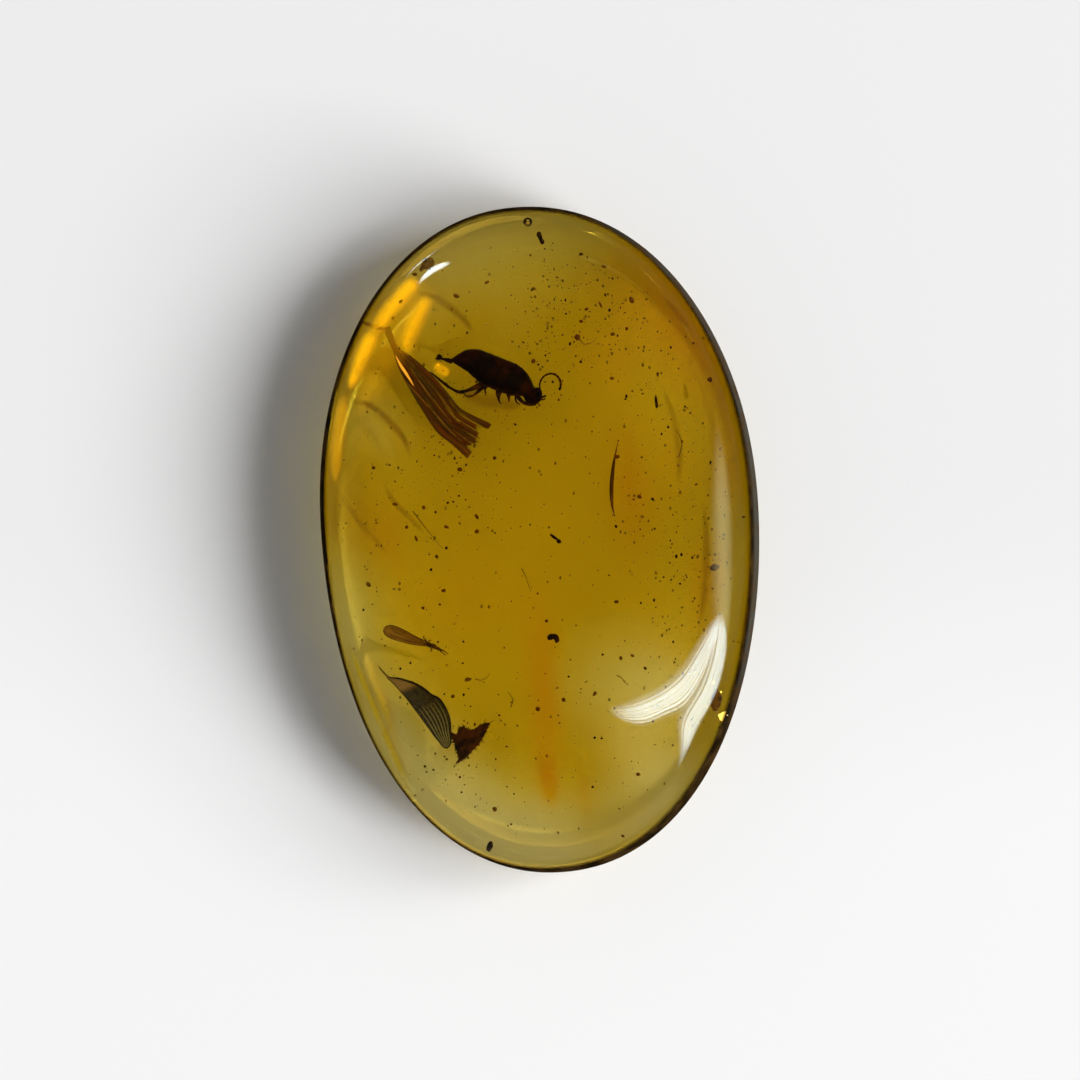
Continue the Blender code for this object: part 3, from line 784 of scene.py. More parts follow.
FRAYED_FIBRES = 9
FRAYED_FIBRE_RADIUS = 0.020
STRIP, RIB, RIB_HIGHLIGHT = range(3)
FIBRE_RED = (0.28, 0.062, 0.010)
FIBRE_DARK = (0.035, 0.012, 0.003)
FIBRE_OLIVE = (0.13, 0.085, 0.015)
FIBRE_TAN = (0.50, 0.27, 0.12)
FIBRE_STRETCH = (1.6, 6.0, 1.0)
OLIVE_STRETCH = (3.0, 0.9, 1.0)
RIB_DARK = (0.16, 0.075, 0.028)
# The painted highlight rib: its colours, and the colour and strength of the light it gives off.
RIB_HIGHLIGHT_DARK = (0.75, 0.33, 0.10)
RIB_HIGHLIGHT_LIGHT = (1.0, 0.60, 0.28)
RIB_GLINT = (1.0, 0.46, 0.16)
RIB_GLINT_POWER = 0.7
FAN_RIBS = (
    ((2.3, -0.86, 0.16), (3.2, -0.82, 0.18), (4.2, -0.80, 0.20), (5.3, -0.80, 0.20),
     (6.2, -0.68, 0.16)),
    ((3.0, -0.12, 0.14), (3.9, -0.16, 0.16), (4.8, -0.24, 0.18), (6.05, -0.42, 0.16)),
    ((2.0, -0.30, 0.14), (3.0, -0.42, 0.16), (4.0, -0.48, 0.18), (5.0, -0.52, 0.16)),
    ((4.2, 0.02, 0.14), (4.9, 0.02, 0.16), (5.8, 0.28, 0.14)),
    ((0.3, 0.02, 0.10), (1.2, -0.20, 0.12), (2.2, -0.16, 0.12)),
)
# The route of the painted highlight rib.
RIB_HIGHLIGHT_ROUTE = ((1.22, -0.46, 0.16), (1.7, -0.56, 0.20), (2.2, -0.62, 0.20), (2.75, -0.70, 0.16))

fan_left = curve_through(FAN_LEFT, 10)
fan_right = curve_through(FAN_RIGHT, 10)


def between(edge, place):
    """A point of an edge, at a place that may lie between two of its points."""
    low = min(int(place), len(edge) - 2)
    return edge[low].lerp(edge[low + 1], place - low)


def fan_point(along, across):
    """A point of the fan between its two edges, by shares of its length and width."""
    place = along * (len(fan_left) - 1)
    sag = -FAN_SAG * math.sin(math.pi * along) ** 2
    crown = FAN_CROWN * math.sin(math.pi * across)
    flat = between(fan_left, place).lerp(between(fan_right, place), across)
    return flat + Vector((0.0, 0.0, sag + crown))


def sheet_ring(upper, thickness):
    """A closed ring of points: a row across the top of a sheet, and back along its underside."""
    return [*upper, *(point - Vector((0.0, 0.0, thickness)) for point in reversed(upper))]


def add_sheet(shape, grid, thickness):
    """A thin closed sheet under rows of points, each given with its share along and across."""
    along_layer = shape.verts.layers.float["along"]
    across_layer = shape.verts.layers.float["across"]
    rings = [sheet_ring([point for point, _, _ in row], thickness) for row in grid]
    shares = [entry[1:] for row in grid for entry in (*row, *reversed(row))]
    for vert, (along, across) in zip(add_rings(shape, rings), shares):
        vert[along_layer] = along
        vert[across_layer] = across


def new_sheet_shape():
    """An empty mesh whose points carry their share along and across a sheet."""
    shape = bmesh.new()
    shape.verts.layers.float.new("along")
    shape.verts.layers.float.new("across")
    return shape


rng = random.Random(11)
shape = new_sheet_shape()
for strip, end in enumerate(STRIP_ENDS):
    left_share, right_share = STRIP_EDGES[strip], STRIP_EDGES[strip + 1]
    left_split = STRIP_SPLITS[strip - 1] if strip else 1.0
    right_split = STRIP_SPLITS[strip] if strip < len(STRIP_SPLITS) else 1.0
    grid = []
    for row in range(FAN_STEPS + 1):
        along = end * row / FAN_STEPS
        open_left = SPLIT_GAP * smooth_step((along - left_split) / SPLIT_FADE)
        open_right = SPLIT_GAP * smooth_step((along - right_split) / SPLIT_FADE)
        points = []
        for column in range(STRIP_STEPS + 1):
            share = column / STRIP_STEPS
            opened = open_left + (1.0 - open_left - open_right) * share
            across = left_share + (right_share - left_share) * opened
            ragged = RAGGED_END * rng.uniform(-1.0, 1.0) if row == FAN_STEPS else 0.0
            point = fan_point(min(1.0, along + ragged), across)
            fold = math.sin(math.pi * share) - 0.5
            point.z += FAN_FOLD * fold * min(1.0, 0.35 + along) * (1.0 if strip % 2 else 0.7)
            points.append((point, along, strip + share))
        grid.append(points)
    add_sheet(shape, grid, FAN_SHEET)
for strip, end in enumerate(STRIP_ENDS):
    left_share, right_share = STRIP_EDGES[strip], STRIP_EDGES[strip + 1]
    for _ in range(FRAYED_FIBRES):
        across = left_share + (right_share - left_share) * rng.random()
        start = rng.uniform(0.86, 0.96) * end
        finish_at = min(1.0, end + rng.uniform(0.0, 0.035))
        stops = (start, (start + finish_at) / 2.0, finish_at)
        route = [fan_point(stop, across) for stop in stops]
        route[2] += Vector((0.0, rng.uniform(-0.06, 0.06), rng.uniform(-0.05, 0.08)))
        add_tube(shape, route, lambda share: FRAYED_FIBRE_RADIUS * (1.2 - share), 5, STRIP)
for route in FAN_RIBS:
    curve = curve_through(route, 8)
    add_tube(shape, curve, lambda share: 0.010 + 0.022 * math.sin(math.pi * share), 6, RIB)
# The painted highlight: a thick pale rib that glows.
curve = curve_through(RIB_HIGHLIGHT_ROUTE, 8)
add_tube(shape, curve, lambda share: 0.012 + 0.050 * math.sin(math.pi * share), 8, RIB_HIGHLIGHT)


def sheet_place(nodes, links):
    """A place on a sheet, from the shares along and across that its mesh carries."""
    place = nodes.new("ShaderNodeCombineXYZ")
    links.new(carried(nodes, "along"), place.inputs["X"])
    links.new(carried(nodes, "across"), place.inputs["Y"])
    return place.outputs[0]


def fibre_finish():
    """Red-brown fibres with dark streaks that run along the strips, and olive patches."""
    finish, nodes, links, shader = new_finish("plant_fibre")
    place = sheet_place(nodes, links)
    fibres = add_mottle(nodes, links, place, 1.0, 0.42, FIBRE_STRETCH, FIBRE_DARK, FIBRE_RED)
    patches = add_mottle(nodes, links, place, 1.0, 0.36, OLIVE_STRETCH)
    colour = mixed(nodes, links, patches["Mask"], fibres["Colour"], FIBRE_OLIVE)
    links.new(colour, shader.inputs["Base Color"])
    add_relief(nodes, links, shader, fibres["Mask"], 0.6, 0.04)
    set_gloss(shader, 0.5, 0.3)
    return finish


def set_glow(finish, colour, power):
    """Painted light: let a finish give off light of its own without lighting what is round it."""
    shader = finish.node_tree.nodes["Principled BSDF"]
    fill(finish.node_tree.links, shader.inputs["Emission Color"], colour)
    shader.inputs["Emission Strength"].default_value = power
    finish.cycles.emission_sampling = "NONE"


rib = mottled_finish("tan_rib", RIB_DARK, FIBRE_TAN, 3000.0, 0.45, 0.45, 0.3)
# The painted highlight rib glows with its own light.
painted_rib_highlight = mottled_finish("painted_rib_highlight", RIB_HIGHLIGHT_DARK, RIB_HIGHLIGHT_LIGHT, 2500.0, 0.5, 0.4, 0.3)
set_glow(painted_rib_highlight, RIB_GLINT, RIB_GLINT_POWER)
fan_finishes = [fibre_finish(), rib, painted_rib_highlight]
fan = add_piece("plant_fan_sealed", shape, fan_finishes, FAN_AT, FAN_TURN)
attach(fan, "root")
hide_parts("plant_fan")

# --- The small winged insect ---------------------------------------------------------------------
# A gnat-sized insect. Its brown wings are folded back over its body in one club, veined and thin
# enough for light to come through, and its legs and feelers are drawn in. X runs to its head.

SMALL_INSECT_AT = (-4.75, -4.55, 4.2)
SMALL_INSECT_TURN = math.radians(-19.0)
CLUB_UPPER = (
    (-1.96, 0.04), (-1.86, 0.20), (-1.60, 0.31), (-1.14, 0.29), (-0.58, 0.19), (0.02, 0.13),
)
CLUB_LOWER = (
    (-1.96, -0.02), (-1.86, -0.17), (-1.62, -0.25), (-1.20, -0.25), (-0.62, -0.20), (0.14, -0.04),
)
# The two folded layers of wings: how high each lies, and its width as a share of the club's.
CLUB_LAYERS = ((0.02, 1.0), (-0.07, 0.93))
CLUB_STEPS = 8
CLUB_BULGE = 0.11
CLUB_SHEET = 0.03
CLUB_COLUMNS = 12
CLUB_RIM_LIFT = Vector((0.0, 0.0, 0.03))
MEMBRANE = (0.40, 0.19, 0.02)
MEMBRANE_DARK = (0.20, 0.085, 0.012)
SMALL_BODY_DARK = (0.035, 0.013, 0.004)
SMALL_BODY_LIGHT = (0.12, 0.05, 0.014)
VEIN_DARK = (0.05, 0.02, 0.006)
VEIN_BROWN = (0.14, 0.06, 0.015)
VEIN_RADIUS = 0.013
UPPER_RIM_RADIUS = 0.020
LOWER_RIM_RADIUS = 0.016
CLUB_VEINS = (
    ((-1.70, 0.17, 0.13), (-1.30, 0.20, 0.15), (-0.80, 0.14, 0.15), (-0.20, 0.10, 0.12)),
    ((-1.55, 0.05, 0.15), (-1.10, 0.05, 0.17), (-0.60, 0.02, 0.16), (-0.10, 0.03, 0.12)),
    ((-1.60, -0.10, 0.13), (-1.20, -0.12, 0.14), (-0.70, -0.10, 0.13), (-0.15, -0.03, 0.10)),
)
# The lumps of the body from its middle to its head: centre, half sizes, and turn in radians.
SMALL_LUMPS = (
    ((0.10, 0.03, 0.0), (0.17, 0.11, 0.12), -0.2),
    ((0.33, 0.03, 0.0), (0.16, 0.10, 0.11), -0.3),
    ((0.52, -0.01, 0.0), (0.09, 0.08, 0.09), 0.0),
)
TAIL_RINGS = 5
TAIL_RING_SPACING = 0.14
SMALL_LIMB_RADIUS = 0.030
MEMBRANE_SKIN, VEIN, SMALL_BODY = range(3)
SMALL_LIMBS = (
    ((0.00, 0.05, 0.04), (-0.10, 0.18, 0.04), (-0.22, 0.26, 0.02), (-0.20, 0.34, 0.02)),
    ((0.10, 0.06, 0.0), (0.06, 0.20, 0.02), (0.14, 0.24, 0.02)),
    ((0.20, -0.04, 0.0), (0.30, -0.16, 0.0), (0.24, -0.22, 0.0)),
    ((0.55, 0.00, 0.02), (0.78, -0.02, 0.02), (1.00, -0.10, 0.0)),
    ((0.55, -0.03, -0.02), (0.74, -0.10, 0.0), (0.92, -0.18, 0.0)),
)

shape = bmesh.new()
club_upper = curve_through(CLUB_UPPER, CLUB_STEPS)
club_lower = curve_through(CLUB_LOWER, CLUB_STEPS)
for lift, width in CLUB_LAYERS:
    rings = []
    for place, (high, low) in enumerate(zip(club_upper, club_lower)):
        share = place / (len(club_upper) - 1)
        bulge = CLUB_BULGE * math.sin(math.pi * min(1.0, 0.08 + share * 0.92)) ** 0.5
        upper = []
        for across in arc(0.0, 1.0, CLUB_COLUMNS):
            rise = Vector((0.0, 0.0, lift + bulge * math.sin(math.pi * across)))
            upper.append(low.lerp(high, 0.5 + (across - 0.5) * width) + rise)
        rings.append(sheet_ring(upper, CLUB_SHEET))
    add_rings(shape, rings, MEMBRANE_SKIN)
for route in CLUB_VEINS:
    add_tube(shape, curve_through(route, 6), lambda share: VEIN_RADIUS, 5, VEIN)
upper_rim = [point + CLUB_RIM_LIFT for point in club_upper]
lower_rim = [point + CLUB_RIM_LIFT for point in club_lower]
add_tube(shape, upper_rim, lambda share: UPPER_RIM_RADIUS, 6, VEIN)
add_tube(shape, lower_rim, lambda share: LOWER_RIM_RADIUS, 6, VEIN)
for centre, half_sizes, turn in SMALL_LUMPS:
    add_ball(shape, centre, half_sizes, turn, SMALL_BODY)
for ring in range(TAIL_RINGS):
    centre = (-0.10 - TAIL_RING_SPACING * ring, 0.0, -0.02)
    add_ball(shape, centre, (0.09, 0.09 - 0.006 * ring, 0.09), 0.0, SMALL_BODY, detail=2)
for route in SMALL_LIMBS:
    curve = curve_through(route, 6)
    add_tube(shape, curve, lambda share: SMALL_LIMB_RADIUS * (1.15 - 0.6 * share), 6, SMALL_BODY)


def membrane_finish():
    """A wing skin that lets light through, dull brown, patched where it is thicker."""
    finish, nodes, links, shader = new_finish("brown_membrane")
    patches = add_mottle(nodes, links, own_place(nodes), 1800.0, 0.55, (0.5, 1.6, 1.0),
                         MEMBRANE_DARK, MEMBRANE)
    links.new(patches["Colour"], shader.inputs["Base Color"])
    set_gloss(shader, 0.45, 0.2)
    return finish


small_insect = add_piece("small_insect_sealed", shape, [
    membrane_finish(),
    mottled_finish("wing_vein", VEIN_DARK, VEIN_BROWN, 2500.0, 0.4, 0.5, 0.2),
    mottled_finish("small_body", SMALL_BODY_DARK, SMALL_BODY_LIGHT, 3500.0, 0.4, 0.4, 0.5),
], SMALL_INSECT_AT, SMALL_INSECT_TURN)
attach(small_insect, "root")
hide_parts("small_winged_insect")

# --- The loose wing ------------------------------------------------------------------------------
# A shed wing: a half moon with a bowed front edge and a straight rear edge. It is tan at its root,
# dark and net-veined in the middle, and ribbed and grey-green to its tip.

WING_AT = (-5.2, -7.2, 4.36)
WING_FRONT = (
    (-1.68, 1.65), (-1.49, 1.42), (-1.22, 1.17), (-0.82, 1.14), (-0.45, 1.04), (-0.05, 0.90),
    (0.32, 0.68), (0.62, 0.44), (0.95, 0.28), (1.19, -0.05), (1.35, -0.41), (1.43, -0.81),
    (1.43, -1.20), (1.45, -1.50), (1.40, -1.76), (1.26, -1.93),
)
WING_REAR = (
    (-1.70, 1.63), (-1.51, 1.38), (-1.27, 1.12), (-1.08, 0.95), (-0.90, 0.76), (-0.72, 0.56),
    (-0.52, 0.33), (-0.34, 0.10), (-0.12, -0.20), (0.08, -0.48), (0.30, -0.78), (0.52, -1.09),
    (0.72, -1.38), (0.93, -1.64), (1.06, -1.82), (1.20, -1.93),
)
WING_STEPS = 6
WING_COLUMNS = 26
WING_BULGE = 0.16
WING_SHEET = 0.04
WING_RIBS = 7
WING_RIB_HEIGHT = 0.022
WING_RIB_START = 0.45
WING_TAN = (0.42, 0.25, 0.085)
WING_PINK_TAN = (0.40, 0.22, 0.12)
WING_BROWN = (0.012, 0.006, 0.002)
WING_PALE_BROWN = (0.035, 0.019, 0.006)
WING_GREY = (0.075, 0.062, 0.026)
WING_CELLS = (0.085, 0.058, 0.022)
WING_EDGE = (0.010, 0.004, 0.001)
WING_EDGE_BROWN = (0.035, 0.016, 0.005)
WING_RIB_DARK = (0.16, 0.13, 0.06)
WING_RIB_LIGHT = (0.36, 0.31, 0.16)
PATCH_STRETCH = (7.0, 3.0, 1.0)
CELL_STRETCH = (26.0, 8.0, 1.0)
# Where the tan of the root ends and the grey of the tip begins, as shares of the wing's length.
TAN_ENDS = (0.38, 0.30)
GREY_STARTS = (0.52, 0.80)
WING_RIM, WING_RIB = 1, 2

shape = new_sheet_shape()
wing_front = curve_through(WING_FRONT, WING_STEPS)
wing_rear = curve_through(WING_REAR, WING_STEPS)
rows = len(wing_front)


def wing_surface(along, across):
    """A point of the wing's upper side, by the row along it and the share across it."""
    place = along * (rows - 1)
    lengthwise = math.sin(math.pi * min(1.0, along * 1.1))
    crown = WING_BULGE * lengthwise * math.sin(math.pi * (0.1 + 0.8 * across))
    ribbed = WING_RIB_HEIGHT * smooth_step((along - WING_RIB_START) / 0.2)
    ribs = ribbed * math.cos(2.0 * math.pi * WING_RIBS * across)
    flat = between(wing_rear, place).lerp(between(wing_front, place), across)
    return flat + Vector((0.0, 0.0, crown + ribs))


def front_rim_radius(share):
    """The rim is thickest before the middle of the front edge."""
    return 0.026 + 0.038 * math.sin(math.pi * min(1.0, share * 1.4)) ** 2


grid = []
for row in range(rows):
    along = row / (rows - 1)
    shares = arc(0.0, 1.0, WING_COLUMNS)
    grid.append([(wing_surface(along, across), along, across) for across in shares])
add_sheet(shape, grid, WING_SHEET)
front_rim = [wing_surface(share, 1.0) for share in arc(0.0, 1.0, rows)]
rear_rim = [wing_surface(share, 0.0) for share in arc(0.12, 0.99, rows)]
add_tube(shape, front_rim, front_rim_radius, 8, WING_RIM)
add_tube(shape, rear_rim, lambda share: 0.022, 6, WING_RIM)
for rib in range(1, WING_RIBS):
    route = [wing_surface(share, rib / WING_RIBS) for share in arc(0.55, 0.97, 20)]
    add_tube(shape, route, lambda share: 0.010 + 0.014 * math.sin(math.pi * share), 5, WING_RIB)


def wing_finish():
    """A net of veins on a skin that goes from tan to dark brown to grey-green along the wing."""
    finish, nodes, links, shader = new_finish("wing_membrane")
    place = sheet_place(nodes, links)
    along = carried(nodes, "along")
    patches = add_mottle(nodes, links, place, 1.0, 0.35, PATCH_STRETCH, WING_BROWN, WING_PALE_BROWN)
    net = nodes.new("ShaderNodeTexVoronoi")
    net.feature = "DISTANCE_TO_EDGE"
    net.inputs["Scale"].default_value = 1.0
    cells = vector_sum(nodes, links, "MULTIPLY", place, CELL_STRETCH)
    links.new(cells, net.inputs["Vector"])
    cell_mask = ranged(nodes, links, net.outputs["Distance"], (0.04, 0.22), (0.0, 0.8))
    root = ranged(nodes, links, along, TAN_ENDS, kind="SMOOTHSTEP")
    tip = ranged(nodes, links, along, GREY_STARTS, kind="SMOOTHSTEP")
    brown = mixed(nodes, links, cell_mask, patches["Colour"], WING_CELLS)
    grey = mixed(nodes, links, cell_mask, WING_BROWN, WING_GREY)
    tan = mixed(nodes, links, patches["Mask"], WING_TAN, WING_PINK_TAN)
    colour = mixed(nodes, links, tip, brown, grey)
    links.new(mixed(nodes, links, root, colour, tan), shader.inputs["Base Color"])
    add_relief(nodes, links, shader, cell_mask, 0.5, 0.05)
    set_gloss(shader, 0.42, 0.3)
    return finish


wing = add_piece("loose_wing_sealed", shape, [
    wing_finish(),
    mottled_finish("wing_edge", WING_EDGE, WING_EDGE_BROWN, 2000.0, 0.3, 0.45, 0.3),
    mottled_finish("wing_rib", WING_RIB_DARK, WING_RIB_LIGHT, 2500.0, 0.5, 0.45, 0.2),
], WING_AT)
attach(wing, "root")
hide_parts("loose_wing")

# --- The bark flake ------------------------------------------------------------------------------
# A torn flake of dark red-brown bark with ragged, fibrous edges, lying against the loose wing.

FLAKE_AT = (-3.0, -8.8, 3.85)
FLAKE_OUTLINE = (
    (-0.72, 0.42), (-0.52, 0.34), (-0.36, 0.60), (-0.20, 0.66), (0.05, 0.58), (0.27, 0.60),
    (0.45, 0.72), (0.66, 0.80), (0.90, 0.86), (0.80, 0.60), (0.68, 0.34), (0.55, 0.07),
    (0.40, -0.14), (0.22, -0.33), (0.06, -0.50), (-0.08, -0.66), (-0.30, -0.84), (-0.50, -0.92),
    (-0.38, -0.70), (-0.46, -0.46), (-0.52, -0.28), (-0.60, 0.00), (-0.68, 0.20),
)
FLAKE_CENTRE = Vector((-0.05, 0.10, 0.0))
FLAKE_RINGS = 9
FLAKE_HALF_THICKNESS = 0.11
FLAKE_RAGGEDNESS = 0.032
FLAKE_TWIST = 0.10
FLAKE_FRINGE = 240
FRINGE_RADIUS = 0.022
SHRED_RADIUS = 0.018
# Longer shreds that hang from the edge: where each starts, bends and ends.
FLAKE_SHREDS = (
    ((0.86, 0.82, 0.0), (0.96, 0.90, 0.03), (1.12, 0.98, 0.05)),
    ((0.60, 0.74, 0.0), (0.70, 0.92, 0.03), (0.74, 1.04, 0.05)),
    ((0.56, 0.10, 0.0), (0.64, 0.00, 0.02), (0.70, -0.02, 0.02)),
    ((-0.46, -0.88, 0.0), (-0.52, -1.00, 0.0), (-0.50, -1.06, 0.0)),
)
BARK_DARK = (0.018, 0.006, 0.002)
BARK_RED = (0.095, 0.026, 0.006)

rng = random.Random(23)
shape = bmesh.new()
flake_edge = curve_through((*FLAKE_OUTLINE, FLAKE_OUTLINE[0]), 5)[:-1]
for point in flake_edge:
    point += Vector((rng.uniform(-1, 1), rng.uniform(-1, 1), 0.0)) * FLAKE_RAGGEDNESS
rings = []
for ring in range(2 * FLAKE_RINGS + 1):
    turn = math.pi * ring / (2 * FLAKE_RINGS)
    reach = max(0.02, math.sin(turn)) ** 0.7
    row = []
    for point in flake_edge:
        lump = 1.0 + 0.25 * math.sin(9.0 * point.x + 3.0) * math.cos(7.0 * point.y)
        height = FLAKE_HALF_THICKNESS * math.cos(turn) * lump + FLAKE_TWIST * point.x * point.y
        row.append(FLAKE_CENTRE.lerp(point, reach) + Vector((0.0, 0.0, height)))
    rings.append(row)
add_rings(shape, rings)
for _ in range(FLAKE_FRINGE):
    root = rng.choice(flake_edge)
    outward = (root - FLAKE_CENTRE).normalized()
    outward += Vector((rng.uniform(-0.6, 0.6), rng.uniform(-0.6, 0.6), rng.uniform(-0.3, 0.3)))
    reach = rng.uniform(0.03, 0.13)
    start = FLAKE_CENTRE.lerp(root, 0.94)
    add_bristle(shape, start, start + outward * reach, FRINGE_RADIUS, 1.1, bend=0.6)
for route in FLAKE_SHREDS:
    curve = curve_through(route, 5)
    add_tube(shape, curve, lambda share: SHRED_RADIUS * (1.1 - 0.7 * share), 5)
bark = mottled_finish("bark", BARK_DARK, BARK_RED, 2600.0, 0.40, 0.7, 1.0)
flake = add_piece("bark_flake_sealed", shape, [bark], FLAKE_AT)
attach(flake, "root")
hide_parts("bark_flake")

# --- The curved hair -----------------------------------------------------------------------------
# One brown plant hair, bowed to the left, tapering to both of its ends.

HAIR_AT = (3.12, 2.75, 4.2)
HAIR_ROUTE = (
    (0.15, 1.62, 0.0), (0.06, 1.15, 0.03), (-0.02, 0.70, 0.04), (-0.08, 0.20, 0.04),
    (-0.12, -0.35, 0.04), (-0.12, -0.85, 0.03), (-0.08, -1.30, 0.02), (0.02, -1.72, 0.0),
)
HAIR_RADIUS = 0.085
HAIR_TIP_RADIUS = 0.012
HAIR_GRAIN = (3.0, 0.4, 3.0)
HAIR_DARK = (0.045, 0.017, 0.004)
HAIR_LIGHT = (0.14, 0.055, 0.012)


def hair_radius(share):
    """The hair is thickest a little past its middle."""
    swell = math.sin(math.pi * share ** 1.25) ** 1.2
    return HAIR_TIP_RADIUS + (HAIR_RADIUS - HAIR_TIP_RADIUS) * swell


shape = bmesh.new()
add_tube(shape, curve_through(HAIR_ROUTE, 8), hair_radius, 12)
hair_finish = mottled_finish("plant_hair", HAIR_DARK, HAIR_LIGHT, 900.0, 0.45, 0.5, 0.4, HAIR_GRAIN)
hair = add_piece("curved_hair_sealed", shape, [hair_finish], HAIR_AT)
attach(hair, "root")
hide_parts("curved_hair")

# --- Crumbs of bark ------------------------------------------------------------------------------
# Splinters and crumbs of bark, a pellet of beetle dung and a seed, each sealed on its own. They
# are rough, nearly black lumps, browner where they are thin.

CRUMB_LUMPS = {
    "rim_bark_crumb": (((-4.93, 12.12, 4.2), 22.0), (
        ((0.06, 0.02, 0.0), (0.30, 0.20, 0.18)), ((-0.24, -0.06, 0.05), (0.13, 0.11, 0.10)),
        ((0.22, 0.16, 0.02), (0.15, 0.12, 0.12)), ((0.10, -0.18, 0.04), (0.12, 0.09, 0.10)))),
    "right_bark_crumb": (((7.60, -7.10, 4.2), -12.0), (
        ((0.0, 0.0, 0.0), (0.21, 0.42, 0.20)), ((-0.05, 0.34, 0.02), (0.10, 0.15, 0.10)),
        ((0.04, -0.36, 0.0), (0.12, 0.12, 0.12)))),
    "top_bark_splinter": (((0.00, 13.32, 4.2), 14.0), (
        ((0.0, 0.0, 0.0), (0.09, 0.34, 0.09)), ((-0.03, 0.16, 0.02), (0.10, 0.14, 0.08)),
        ((0.03, -0.18, 0.0), (0.10, 0.12, 0.08)))),
    "right_bark_splinter": (((4.86, 6.05, 4.2), 4.0), (
        ((0.0, 0.0, 0.0), (0.060, 0.31, 0.06)), ((0.01, -0.16, 0.01), (0.07, 0.13, 0.06)))),
    "middle_bark_splinter": (((0.68, 0.07, 4.2), -38.0), (
        ((-0.05, 0.0, 0.0), (0.24, 0.06, 0.07)), ((0.18, -0.02, 0.01), (0.12, 0.09, 0.08)))),
    "frass_pellet": (((0.56, -4.26, 4.2), 25.0), (
        ((-0.06, 0.06, 0.0), (0.20, 0.13, 0.12)), ((0.10, -0.08, 0.02), (0.12, 0.20, 0.13)),
        ((0.06, -0.20, 0.0), (0.07, 0.09, 0.08)))),
    "seed": (((-2.16, -13.52, 4.2), -15.0), (
        ((0.0, 0.0, 0.0), (0.13, 0.21, 0.12)), ((0.02, 0.14, 0.0), (0.07, 0.09, 0.07)))),
}
CRUMB_ROUGHNESS = 0.18
CRUMB_DARK = (0.010, 0.004, 0.002)
CRUMB_BROWN = (0.085, 0.028, 0.008)
THIN_BARK_DARK = (0.02, 0.008, 0.001)
THIN_BARK_LIGHT = (0.30, 0.14, 0.012)
ROTTEN_WOOD_DARK = (0.045, 0.02, 0.006)
ROTTEN_WOOD_LIGHT = (0.30, 0.17, 0.05)
ROUGH_WAVES = 5
ROUGH_WAVE_PITCH = 9
ROUGH_GRAIN = 0.25


def add_rough_ball(shape, rng, centre, half_sizes, roughness, finish=0, detail=3, turn=0.0):
    """A lump whose surface is pushed in and out at random."""
    centre = Vector(centre)
    waves = []
    for _ in range(ROUGH_WAVES):
        pitch = Vector([rng.uniform(-ROUGH_WAVE_PITCH, ROUGH_WAVE_PITCH) for _ in range(3)])
        waves.append((pitch, rng.uniform(0, 6)))
    size = max(half_sizes)
    for vert in add_ball(shape, centre, half_sizes, turn, finish, detail):
        around = (vert.co - centre) / size
        push = sum(math.sin(wave.dot(around) + phase) for wave, phase in waves) / len(waves)
        push += rng.uniform(-ROUGH_GRAIN, ROUGH_GRAIN)
        vert.co = centre + (vert.co - centre) * (1.0 + roughness * push)


rng = random.Random(31)
thin_bark = mottled_finish("thin_bark", THIN_BARK_DARK, THIN_BARK_LIGHT, 1500.0, 0.5, 0.5, 0.8)
crumb_finish = mottled_finish("bark_crumb", CRUMB_DARK, CRUMB_BROWN, 4200.0, 0.32, 0.65, 1.0)
rotten_wood = mottled_finish("rotten_wood", ROTTEN_WOOD_DARK, ROTTEN_WOOD_LIGHT, 3800.0, 0.5, 0.7, 1.0)
own_finishes = {"rim_bark_crumb": rotten_wood, "right_bark_crumb": thin_bark}
for node, ((at, turn), lumps) in CRUMB_LUMPS.items():
    shape = bmesh.new()
    for centre, half_sizes in lumps:
        add_rough_ball(shape, rng, centre, half_sizes, CRUMB_ROUGHNESS)
    finish = own_finishes.get(node, crumb_finish)
    crumb = add_piece(node + "_sealed", shape, [finish], at, math.radians(turn))
    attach(crumb, "root")
    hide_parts(node)

# --- Specks --------------------------------------------------------------------------------------
# Hundreds of specks of bark dust and a few short curled hairs, caught while the resin ran. They
# crowd together in the upper middle, where one flow met the next.

